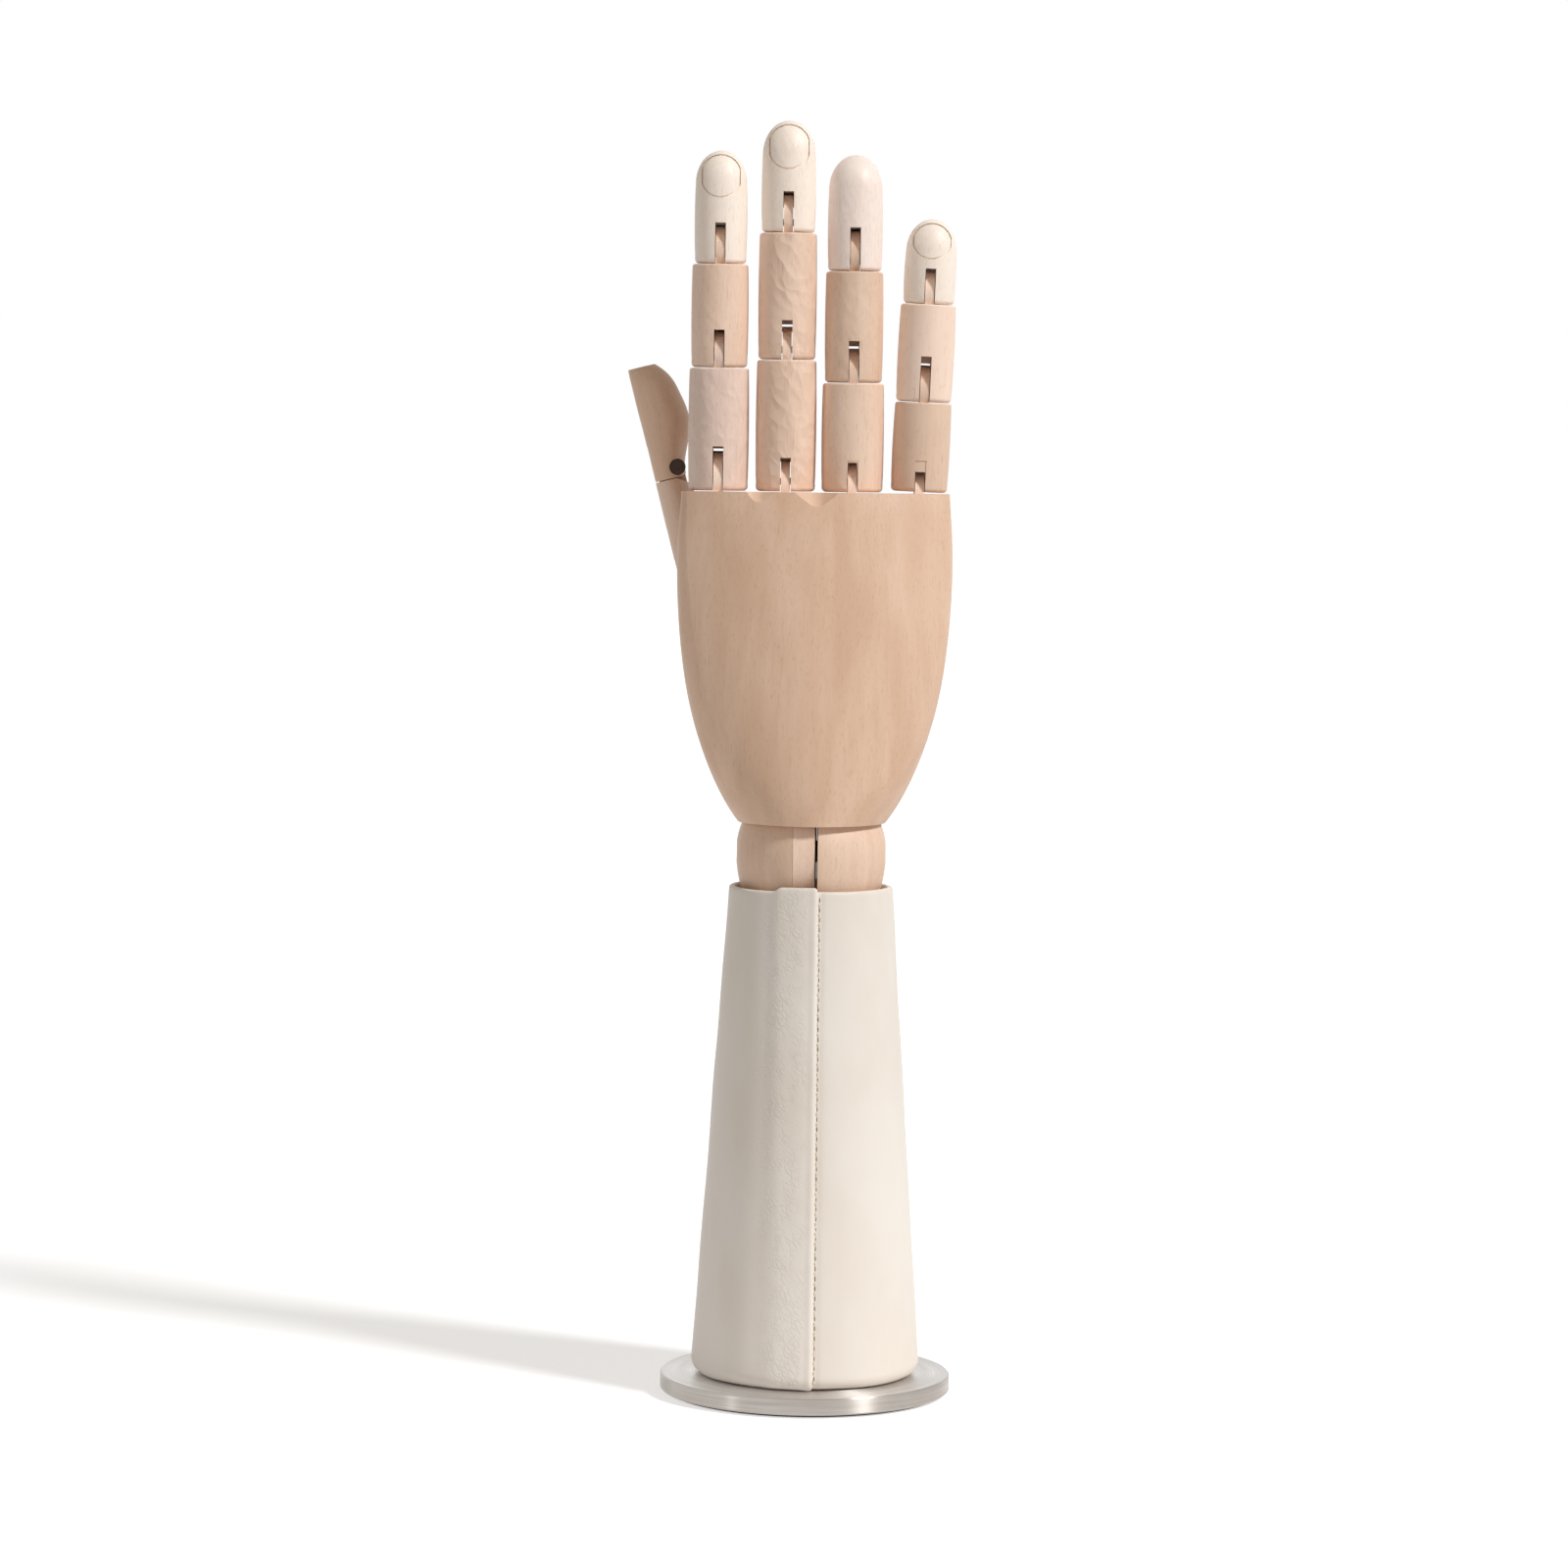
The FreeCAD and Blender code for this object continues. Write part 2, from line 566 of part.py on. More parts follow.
def wrist_parts():
    """Returns the forked wooden ball, its bolt and spring washer, the tongue and the cross pin."""
    radius = BALL_DIAMETER / 2
    pin = V(0, 0, WRIST_PIN_Z)
    shoulder = WRIST_PIN_Z - BALL_DROP
    shank = SHANK_DIAMETER / 2
    shank_low = shoulder - SHANK_LENGTH
    low_radius, middle_radius = ball_radius(BALL_DROP), ball_radius(BALL_DROP / 2)
    diagonal = radius * math.sqrt(0.5)
    ball = turned(
        [
            *chain((0, shank_low), (shank, shank_low), (shank, shoulder), (low_radius, shoulder)),
            arc(
                (low_radius, shoulder),
                (middle_radius, WRIST_PIN_Z - BALL_DROP / 2),
                (radius, WRIST_PIN_Z),
            ),
            arc((radius, WRIST_PIN_Z), (diagonal, WRIST_PIN_Z + diagonal), (0, WRIST_PIN_Z + radius)),
            line((0, WRIST_PIN_Z + radius), (0, shank_low)),
        ]
    )
    half = WRIST_TONGUE_THICKNESS / 2
    slot_left = WRIST_TONGUE_OFFSET - half - WRIST_FIT
    slot_right = WRIST_TONGUE_OFFSET + half + WRIST_SIDE_GAP
    slot_low = WRIST_PIN_Z - WRIST_TONGUE_RADIUS - CUP_GAP
    slot = Part.makeBox(
        slot_right - slot_left, BALL_DIAMETER, BALL_DIAMETER, V(slot_left, -radius, slot_low)
    )  # fmt: skip
    hole = pin_hole(WRIST_PIN_DIAMETER, 2 * BALL_DIAMETER)
    hole.translate(pin)
    bolt_radius = BOLT_DIAMETER / 2
    bolt_top = shank_low + BOLT_BITE
    socket = rod(V(0, 0, shank_low - OVERRUN), Z_AXIS, bolt_radius + PIN_GAP, BOLT_BITE + OVERRUN)
    ball = ball.cut(slot).cut(hole).cut(socket)

    washer_top = WEB_TOP - WEB_THICKNESS
    washer_low = washer_top - WASHER_THICKNESS
    washer = rod(V(0, 0, washer_low), Z_AXIS, WASHER_DIAMETER / 2, WASHER_THICKNESS)
    washer = washer.cut(rod(V(0, 0, washer_low), Z_AXIS, bolt_radius + PIN_GAP, WASHER_THICKNESS))
    head_low = washer_low - BOLT_HEAD_HEIGHT
    bolt = rod(V(0, 0, washer_low), Z_AXIS, bolt_radius, bolt_top - washer_low)
    corner = V(BOLT_HEAD / math.sqrt(3), 0, head_low)
    turns = [FreeCAD.Rotation(Z_AXIS, 360 / HEX_SIDES * i) for i in range(HEX_SIDES)]
    corners = [turn.multVec(corner) for turn in turns + turns[:1]]
    head = Part.Face(Part.makePolygon(corners)).extrude(V(0, 0, BOLT_HEAD_HEIGHT))
    bolt = bolt.fuse(head)

    tongue = rod(pin + V(WRIST_TONGUE_OFFSET - half, 0, 0), X_AXIS, WRIST_TONGUE_RADIUS, 2 * half)
    bar_top = PALM_BOTTOM + WRIST_TONGUE_BITE
    bar = Part.makeBox(
        2 * half, WRIST_TONGUE_WIDTH, bar_top - WRIST_PIN_Z,
        V(WRIST_TONGUE_OFFSET - half, -WRIST_TONGUE_WIDTH / 2, WRIST_PIN_Z),
    )  # fmt: skip
    # towards the palm side the tongue is thicker, and fills its slot
    shim = WRIST_SIDE_GAP - SLOT_GAP
    side = V(WRIST_TONGUE_OFFSET + half, 0, 0)
    filling = rod(pin + side, X_AXIS, WRIST_TONGUE_RADIUS, shim)
    front = Part.makeBox(
        shim, BALL_DIAMETER, BALL_DIAMETER,
        pin + side + V(0, OVERRUN - BALL_DIAMETER, -radius),
    )  # fmt: skip
    tongue = tongue.fuse([bar, filling.cut(front)]).cut(hole)
    pin_length = BALL_DIAMETER - 2 * WRIST_PIN_RECESS
    cross = rod(pin - V(pin_length / 2, 0, 0), X_AXIS, WRIST_PIN_DIAMETER / 2, pin_length)
    # the pin's ends follow the ball, a little below its surface
    inner = Part.makeSphere(radius - WRIST_PIN_RECESS, pin)
    return {
        "wrist_ball": ball,
        "wrist_bolt": bolt,
        "wrist_washer": washer,
        "wrist_tongue": tongue,
        "wrist_pin": cross.common(inner),
    }


def palm_blank():
    """Returns the carved block of the palm, before its holes."""
    rings = []
    for height, width, front, back in PALM_SHARES:
        half = PALM_WIDTH / 2 * width
        depth = PALM_DEPTH / 2
        z = PALM_BOTTOM + PALM_HEIGHT * height
        rings.append(oval(-half, half, -depth * front, depth * back, z, PALM_OVAL_CORNER))
    return Part.makeLoft(rings, True, False)


def scallop_cut(low, depth):
    """Returns a trough that starts on the back of the hand and runs out on the top.

    Args:
        low: its lowest point on the back of the hand.
        depth: how far that lies below the top of the palm.
    """
    slope, climb = math.radians(SCALLOP_SLOPE), math.radians(SCALLOP_CLIMB)
    side, rise = SCALLOP_ROUND * math.sin(slope), SCALLOP_ROUND * (1 - math.cos(slope))
    high = 2 * depth
    wide = side + (high - rise) / math.tan(slope)
    left, right = V(-wide, 0, high), V(wide, 0, high)
    turn_left, turn_right = V(-side, 0, rise), V(side, 0, rise)
    edges = [
        Part.LineSegment(left, turn_left).toShape(),
        Part.Arc(turn_left, V(), turn_right).toShape(),
        Part.LineSegment(turn_right, right).toShape(),
        Part.LineSegment(right, left).toShape(),
    ]
    along = V(0, math.cos(climb), math.sin(climb)) * 2 * high
    trough = Part.Face(Part.Wire(edges)).extrude(along)
    trough.translate(low)
    before = Part.Face(Part.Wire(edges)).extrude(V(0, -PALM_DEPTH, 0))
    before.translate(low)
    return trough.fuse(before)


def palm_part(tongues):
    """Returns the palm with its cup, mortises, scallops and the bevel behind the knuckles."""
    palm = palm_blank()
    pin = V(0, 0, WRIST_PIN_Z)
    palm = palm.cut(Part.makeSphere(BALL_DIAMETER / 2 + CUP_GAP, pin))
    bevel = bend_cut(PALM_WIDTH, PALM_WIDTH, False)
    bevel.translate(V(0, 0, PALM_TOP + PIN_HEIGHT))
    palm = palm.cut(bevel)
    front = -PALM_DEPTH / 2 * PALM_SHARES[-1][2]
    for middle, depth in SCALLOPS:
        palm = palm.cut(scallop_cut(V(middle, front, PALM_TOP - depth), depth))
    for tongue in tongues:
        palm = palm.cut(tongue)
    return palm


def in_thumb(shape, pin_side, height):
    """Places a shape that is drawn about a bend towards +Y in the thumb, bending towards +X."""
    shape.rotate(V(), Z_AXIS, -90)
    shape.translate(V(pin_side, 0, height))
    return shape


def thumb_loft(shares, length, start):
    """Returns a rounded piece of the thumb in its own upright frame."""
    rings = []
    for height, nail, pad, depth in shares:
        half = THUMB_DEPTH / 2 * depth
        z = start + length * height
        sides = THUMB_WIDTH * nail, THUMB_WIDTH * pad
        rings.append(oval(*sides, -half, half, z, THUMB_OVAL_CORNER))
    return Part.makeLoft(rings, True, False)


def thumb_parts():
    """Returns the thumb's base, its two upper pieces and their screws, in place behind the palm."""
    wide = 2 * THUMB_WIDTH
    joints = (
        (THUMB_WIDTH / 2, Joint(0.0, THUMB_SLOT, THUMB_TONGUE)),
        (THUMB_PIN_SETBACK, Joint(THUMB_LENGTH, THUMB_SLOT, THUMB_TONGUE)),
    )
    base = thumb_loft(THUMB_BASE_SHARES, THUMB_BASE_LENGTH, 0)
    middle = thumb_loft(THUMB_MIDDLE_SHARES, THUMB_LENGTH - FACE_GAP, FACE_GAP)
    tip = thumb_loft(THUMB_TIP_SHARES, THUMB_TIP_LENGTH - FACE_GAP, THUMB_LENGTH + FACE_GAP)
    pieces = [base, middle, tip]
    screws = []
    for i, (side, joint) in enumerate(joints):
        pin_z = joint.height + PIN_HEIGHT
        lower, upper = pieces[i], pieces[i + 1]
        bevel = in_thumb(bend_cut(wide, wide, False), side, pin_z)
        reach = side - TONGUE_INSET
        disc = in_thumb(tongue_disc(joint, reach), side, pin_z)
        edge = THUMB_TONGUE_SHARES[i]
        ends = [(share, *edge, THUMB_FACE_SHARE) for share in (0, 1)]
        guard = thumb_loft(ends, wide, joint.height - THUMB_WIDTH)
        hole = in_thumb(pin_hole(THUMB_PIN_DIAMETER, wide), side, pin_z)
        pieces[i] = lower.cut(bevel).fuse(disc.common(guard)).cut(hole)
        nose = in_thumb(bend_cut(wide, wide, True), side, pin_z)
        slot = Part.makeBox(
            2 * wide, SLOT_WIDTH, joint.slot + OVERRUN - FACE_GAP,
            V(-wide, -SLOT_WIDTH / 2, joint.height + FACE_GAP - OVERRUN),
        )  # fmt: skip
        upper = upper.cut(nose).cut(slot).cut(hole)
        # the screw's head sits in a round sink in the face towards the back of the hand
        face = -THUMB_DEPTH / 2 * THUMB_FACE_SHARE
        head_radius = THUMB_SCREW_HEAD / 2
        sink = rod(
            V(side, face - OVERRUN * 2, pin_z), Y_AXIS, head_radius + PIN_GAP,
            OVERRUN * 2 + THUMB_SCREW_HEAD_DEPTH + PIN_RECESS,
        )  # fmt: skip
        pieces[i + 1] = upper.cut(sink)
        head_y = face + PIN_RECESS
        head = rod(V(side, head_y, pin_z), Y_AXIS, head_radius, THUMB_SCREW_HEAD_DEPTH)
        shaft = rod(
            V(side, head_y, pin_z), Y_AXIS, THUMB_PIN_DIAMETER / 2, -face * 2 - 2 * PIN_RECESS
        )
        screws.append(head.fuse(shaft))
    parts = {
        "thumb_base": pieces[0],
        "thumb_proximal": pieces[1],
        "thumb_distal": pieces[2],
        "thumb_proximal_screw": screws[0],
        "thumb_distal_screw": screws[1],
    }
    for solid in parts.values():
        solid.rotate(V(), Y_AXIS, -THUMB_LEAN)
        solid.translate(V(THUMB_BASE_LEFT, THUMB_PLANE, THUMB_BASE_TOP))
    return parts


def seat_parts(base, palm):
    """Returns the thumb's base, its swivel screw and the palm with the round seat for it."""
    lean = math.radians(THUMB_LEAN)
    centre = V(THUMB_BASE_LEFT, 0, THUMB_BASE_TOP)
    centre += V(math.cos(lean), 0, math.sin(lean)) * SEAT_SETBACK
    centre += V(math.sin(lean), 0, -math.cos(lean)) * SEAT_DROP
    front = THUMB_PLANE - THUMB_DEPTH / 2
    palm_back = front - FACE_GAP - SEAT_DEPTH
    seat = rod(centre + V(0, palm_back, 0), Y_AXIS, SEAT_DIAMETER / 2 + FACE_GAP, PALM_DEPTH)
    boss = rod(
        centre + V(0, palm_back + FACE_GAP, 0), Y_AXIS, SEAT_DIAMETER / 2, THUMB_DEPTH / 2 + SEAT_DEPTH
    )
    shaft_radius, head_radius = SWIVEL_SCREW_DIAMETER / 2, SWIVEL_SCREW_HEAD / 2
    start = palm_back - SWIVEL_SCREW_BITE
    head_low = THUMB_PLANE + THUMB_DEPTH / 2 - 2 * SWIVEL_SCREW_HEAD_DEPTH
    shaft = rod(centre + V(0, start, 0), Y_AXIS, shaft_radius, head_low - start)
    head = rod(centre + V(0, head_low, 0), Y_AXIS, head_radius, SWIVEL_SCREW_HEAD_DEPTH)
    bore = rod(
        centre + V(0, start - PIN_GAP, 0), Y_AXIS, shaft_radius + PIN_GAP, head_low - start + PIN_GAP
    )
    sink = rod(centre + V(0, head_low - PIN_GAP, 0), Y_AXIS, head_radius + PIN_GAP, THUMB_DEPTH)
    return base.fuse(boss).cut(bore).cut(sink), shaft.fuse(head), palm.cut(seat).cut(bore)


def build():
    """Returns every named solid."""
    parts = base_parts()
    parts.update(forearm_parts(parts["base_screws"]))
    parts.update(wrist_parts())
    for finger in FINGERS:
        parts.update(finger_pieces(finger))
    parts.update(thumb_parts())
    tongues = [parts[f"{finger.name}_knuckle_tongue"] for finger in FINGERS]
    palm = palm_part(tongues + [parts["wrist_tongue"]])
    seated = seat_parts(parts["thumb_base"], palm)
    parts["thumb_base"], parts["thumb_swivel_screw"], parts["palm"] = seated
    return parts


if __name__ == "__main__":
    os.makedirs("parts", exist_ok=True)
    for node, shape in build().items():
        solids = shape.Solids
        print(node, len(solids), shape.isValid(), round(shape.Volume, 1))
        shape.exportStep(f"parts/{node}.step")
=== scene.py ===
"""The looks of a jointed wooden display hand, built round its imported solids.

Everything is in metres. The back of the hand faces -Y, the thumb is at -X, and the base stands on z = 0.
"""

import logging
import math
from dataclasses import dataclass
from enum import Enum

import bpy
from mathutils import Matrix, Vector, noise


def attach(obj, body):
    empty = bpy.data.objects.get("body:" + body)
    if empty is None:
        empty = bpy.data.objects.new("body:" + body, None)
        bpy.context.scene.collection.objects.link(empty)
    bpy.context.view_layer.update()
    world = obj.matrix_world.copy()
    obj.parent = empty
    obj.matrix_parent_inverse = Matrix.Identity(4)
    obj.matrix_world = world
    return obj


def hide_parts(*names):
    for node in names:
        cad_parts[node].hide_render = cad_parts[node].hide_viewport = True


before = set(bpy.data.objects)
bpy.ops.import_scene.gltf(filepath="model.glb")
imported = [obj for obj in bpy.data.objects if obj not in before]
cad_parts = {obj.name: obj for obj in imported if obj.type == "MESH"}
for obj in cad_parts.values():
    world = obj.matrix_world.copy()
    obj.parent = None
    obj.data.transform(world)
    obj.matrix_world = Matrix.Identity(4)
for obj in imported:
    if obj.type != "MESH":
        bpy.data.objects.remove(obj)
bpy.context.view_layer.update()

LOG = logging.getLogger("display_hand")
MM = 0.001

Colour = tuple[float, float, float]
Socket = bpy.types.NodeSocket


def from_srgb(red: int, green: int, blue: int) -> Colour:
    """Turns a colour as it is read off a screen into the linear one that a shader takes.

    Args:
        red: from 0 to 255.
        green: from 0 to 255.
        blue: from 0 to 255.

    Returns:
        The linear colour.
    """

    def linear(level: int) -> float:
        """Returns one channel, made linear."""
        share = level / 255
        return share / 12.92 if share <= 0.04045 else ((share + 0.055) / 1.055) ** 2.4

    return linear(red), linear(green), linear(blue)


def smooth(value: float, low: float, high: float) -> float:
    """Returns 0 below low and 1 above high, with an even curve between them."""
    share = min(max((value - low) / (high - low), 0.0), 1.0)
    return share * share * (3 - 2 * share)


def bell(value: float, middle: float, width: float) -> float:
    """Returns 1 at the middle, falling off to 0 on both sides."""
    return math.exp(-(((value - middle) / width) ** 2))


@dataclass(frozen=True)
class Pattern:
    """One layer of noise in a finish, and where it starts to show.

    Attributes:
        scale: its cells to a metre.
        along: how much the length of the piece counts, against its width.
        detail: the number of finer layers in it.
        rough: how strong those are.
        swirl: how far the noise distorts itself.
        low: the noise at which it starts to show.
        high: the noise at which it shows in full.
    """

    scale: float
    along: float = 1.0
    detail: float = 2.0
    rough: float = 0.5
    swirl: float = 0.0
    low: float = 0.0
    high: float = 1.0


class Graph:
    """The nodes of a material or of the world, made one after the other."""

    def __init__(self, name: str, kind: str = "materials") -> None:
        """Starts an empty node tree.

        Args:
            name: the name of the material or world.
            kind: "materials" or "worlds".
        """
        self.owner = getattr(bpy.data, kind).new(name)
        self.owner.use_nodes = True
        self.tree = self.owner.node_tree
        self.tree.nodes.clear()

    def add(self, kind: str, inputs: dict | None = None, **settings: object) -> bpy.types.Node:
        """Adds a node.

        Args:
            kind: the node's type, without its "ShaderNode".
            inputs: a value or another node's socket for each input, by name or number.
            **settings: the node's own properties.

        Returns:
            The node.
        """
        node = self.tree.nodes.new("ShaderNode" + kind)
        for key, value in settings.items():
            setattr(node, key, value)
        for key, value in (inputs or {}).items():
            if isinstance(value, bpy.types.NodeSocket):
                self.tree.links.new(value, node.inputs[key])
            else:
                node.inputs[key].default_value = value
        return node

    def place(self, lean: float = 0.0, shift: Vector | None = None) -> Socket:
        """Finds the piece's own coordinates, turned so that Z runs along its grain.

        Args:
            lean: how far the piece leans to +X, in degrees.
            shift: where its texture starts.

        Returns:
            The coordinates.
        """
        start = self.add("TexCoord").outputs["Object"]
        turn = (0.0, -math.radians(lean), 0.0)
        inputs = {"Vector": start, "Rotation": turn, "Location": shift or Vector()}
        return self.add("Mapping", inputs).outputs[0]

    def slanted(self, place: Socket, turn: tuple[float, float, float], along: float) -> Socket:
        """Turns coordinates and stretches them along their length.

        Args:
            place: the coordinates.
            turn: the angles about the three axes, in radians.
            along: how much the length counts.

        Returns:
            The new coordinates.
        """
        turned = self.add("Mapping", {"Vector": place, "Rotation": turn}).outputs[0]
        return self.add("Mapping", {"Vector": turned, "Scale": (1.0, 1.0, along)}).outputs[0]

    def warped(self, place: Socket, share: float, scale: float, detail: float) -> Socket:
        """Shakes coordinates with a noise.

        Args:
            place: the coordinates.
            share: how far they are shaken.
            scale: noise cells to a metre.
            detail: the number of finer layers.

        Returns:
            The new coordinates.
        """
        warp = self.add("TexNoise", {"Vector": place, "Scale": scale, "Detail": detail}).outputs["Color"]
        return self.mix(share, place, warp, "ADD")

    def cells(self, place: Socket, scale: float, feature: str) -> Socket:
        """Returns the distances in a pattern of cells, with that many to a metre."""
        return self.add("TexVoronoi", {"Vector": place, "Scale": scale}, feature=feature).outputs["Distance"]

    def layer(self, place: Socket, pattern: Pattern) -> Socket:
        """Returns the noise of a pattern, from 0 to 1."""
        stretch = Vector((1.0, 1.0, pattern.along))
        inputs = {
            "Vector": self.add("Mapping", {"Vector": place, "Scale": stretch}).outputs[0],
            "Scale": pattern.scale,
            "Detail": pattern.detail,
            "Roughness": pattern.rough,
            "Distortion": pattern.swirl,
        }
        return self.add("TexNoise", inputs).outputs["Fac"]

    def shown(self, place: Socket, pattern: Pattern) -> Socket:
        """Returns how much of a pattern shows at each place."""
        return self.band(self.layer(place, pattern), pattern.low, pattern.high)

    def band(self, value: Socket, low: float, high: float) -> Socket:
        """Returns 0 where the value is below low, and 1 where it is above high."""
        inputs = {"Value": value, "From Min": low, "From Max": high}
        return self.add("MapRange", inputs, interpolation_type="SMOOTHSTEP").outputs["Result"]

    def between(self, value: Socket, low: float, high: float) -> Socket:
        """Returns low where the value is 0, high where it is 1, and evenly between them."""
        return self.add("MapRange", {"Value": value, "To Min": low, "To Max": high}).outputs[0]

    def maths(self, what: str, a: object, b: object = 0.0) -> Socket:
        """Returns a sum, product or other function of two values."""
        return self.add("Math", {0: a, 1: b}, operation=what).outputs[0]

    def times(self, a: object, b: object) -> Socket:
        """Returns the product of two values."""
        return self.maths("MULTIPLY", a, b)

    def mix(self, share: object, a: object, b: object, blend: str = "MIX") -> Socket:
        """Lays one colour over another.

        Args:
            share: how much of b shows.
            a: the colour below.
            b: the colour above.
            blend: how b is laid on a.

        Returns:
            The mixed colour.
        """
        colours = [(*c, 1.0) if isinstance(c, tuple) and len(c) == 3 else c for c in (a, b)]
        node = self.add("Mix", {0: share, 6: colours[0], 7: colours[1]}, data_type="RGBA", blend_type=blend)
        return node.outputs[2]

    def bump(self, height: Socket, strength: float, depth: float, under: Socket | None = None) -> Socket:
        """Gives a surface relief.

        Args:
            height: the relief, from 0 to 1.
            strength: how much of it counts.
            depth: its depth in metres.
            under: the normal of a relief below it.

        Returns:
            The normal of the surface.
        """
        inputs = {"Height": height, "Strength": strength, "Distance": depth}
        if under is not None:
            inputs["Normal"] = under
        return self.add("Bump", inputs).outputs[0]

    def seen(self) -> Socket:
        """Returns 1 for the rays that show a thing to the camera, also in a gloss or through glass."""
        rays = self.add("LightPath").outputs
        bounced = self.maths("MAXIMUM", rays["Is Glossy Ray"], rays["Is Transmission Ray"])
        return self.maths("MAXIMUM", rays["Is Camera Ray"], bounced)

    def finish(self, inputs: dict) -> bpy.types.Material:
        """Closes the graph with the main shader.

        Args:
            inputs: the shader's sockets by name.

        Returns:
            The material.
        """
        shader = self.add("BsdfPrincipled", inputs)
        self.add("OutputMaterial", {"Surface": shader.outputs[0]})
        return self.owner


class Tone(Enum):
    """The tones of the hand's wood as they look in full light, pale part and darker figure."""

    # The tips' own wood is paler, and their tones are made paler still: painted light for the stronger light
    # that falls on the top of the hand.
    TIP_WITH_PAINTED_LIGHT = (from_srgb(255, 243, 231), from_srgb(253, 237, 223))
    TIP_ROSE_WITH_PAINTED_LIGHT = (from_srgb(253, 238, 230), from_srgb(249, 229, 218))
    PALE = (from_srgb(252, 228, 211), from_srgb(243, 212, 190))
    SAND = (from_srgb(242, 214, 194), from_srgb(228, 195, 171))
    ROSE = (from_srgb(238, 214, 201), from_srgb(224, 196, 181))
    TAN = (from_srgb(233, 204, 182), from_srgb(218, 184, 158))
    PALM = (from_srgb(230, 197, 172), from_srgb(216, 179, 151))


@dataclass(frozen=True)
class Wood:
    """Smooth, unvarnished light wood with a fine straight grain.

    Attributes:
        name: the material's name.
        tone: its colours.
        seed: which part of the plank the piece was cut from.
        lean: how far the grain leans to +X, in degrees.
        figure: how strongly the broad figure shows.
        pores: how strongly the short dark flecks show.
        carved: how deep the marks of the carving knife are, in millimetres.
        gloss: how much it shines.
    """

    name: str
    tone: Tone
    seed: int
    lean: float = 0.0
    figure: float = 0.6
    pores: float = 0.5
    carved: float = 0.0
    gloss: float = 0.5

    # How far apart in the plank two pieces with following seeds were cut.
    SEED_STEP = Vector((0.173, 0.311, 0.457))
    # The layers of the wood, and how much of each of them shows.
    GRAIN = Pattern(1500.0, 0.035, 5.0, 0.65, low=0.5, high=0.74)
    STREAKS = Pattern(260.0, 0.05, 3.0, 0.6, 0.3, low=0.42, high=0.68)
    FIGURE = Pattern(75.0, 0.22, swirl=0.6, low=0.3, high=0.7)
    FLECKS = Pattern(2300.0, 0.11, low=0.6, high=0.72)
    SPECKS = Pattern(1300.0, 0.3, low=0.58, high=0.7)
    CLOUDS = Pattern(45.0, 0.6, low=0.5, high=0.75)
    GRAIN_SHARE = 0.22
    STREAK_SHARE = 0.3
    SPECK_SHARE = 0.5
    CLOUD_SHARE = 0.4
    # What turns the darker colour into that of the flecks, and the pale one into that of the clouds.
    DARKER = (0.8, 0.72, 0.64)
    LIGHTER = (1.03, 1.05, 1.07)
    # How deep a fleck is against the grain, and the strength and depth of both together.
    PORE_DEPTH = 0.5
    RELIEF = (0.25, 0.08 * MM)
    # From the smoothest streak to the dullest.
    ROUGHNESS = (0.42, 0.56)
    # The knife's marks: their slant, their stretch, what shakes them, and how many there are to a metre.
    CUT_TURN = (0.4, 0.5, 0.3)
    CUT_ALONG = 0.55
    CUT_WARP = (0.008, 130.0, 1.0)
    CUTS = 230.0

    def material(self) -> bpy.types.Material:
        """Builds the wood and returns it."""
        g = Graph(self.name)
        pale, dark = self.tone.value
        shade = tuple(c * k for c, k in zip(dark, self.DARKER))
        light = tuple(min(c * k, 1.0) for c, k in zip(pale, self.LIGHTER))
        place = g.place(self.lean, self.SEED_STEP * self.seed)
        grain = g.layer(place, self.GRAIN)
        streaks = g.layer(place, self.STREAKS)
        flecks = g.shown(place, self.FLECKS)
        coats = (
            (g.shown(place, self.FIGURE), self.figure, dark),
            (g.band(streaks, self.STREAKS.low, self.STREAKS.high), self.STREAK_SHARE, dark),
            (g.band(grain, self.GRAIN.low, self.GRAIN.high), self.GRAIN_SHARE, shade),
            (g.shown(place, self.SPECKS), self.SPECK_SHARE * self.pores, shade),
            (flecks, self.pores, shade),
            (g.shown(place, self.CLOUDS), self.CLOUD_SHARE, light),
        )
        colour = pale
        for where, share, coat in coats:
            colour = g.mix(g.times(where, share), colour, coat)
        relief = g.maths("SUBTRACT", grain, g.times(flecks, self.PORE_DEPTH))
        normal = g.bump(relief, *self.RELIEF)
        if self.carved:
            slant = g.slanted(place, self.CUT_TURN, self.CUT_ALONG)
            cuts = g.cells(g.warped(slant, *self.CUT_WARP), self.CUTS, "F1")
            normal = g.bump(cuts, 1.0, self.carved * MM, normal)
        return g.finish(
            {
                "Base Color": colour,
                "Roughness": g.between(streaks, *self.ROUGHNESS),
                "Specular IOR Level": self.gloss,
                "Normal": normal,
            }
        )


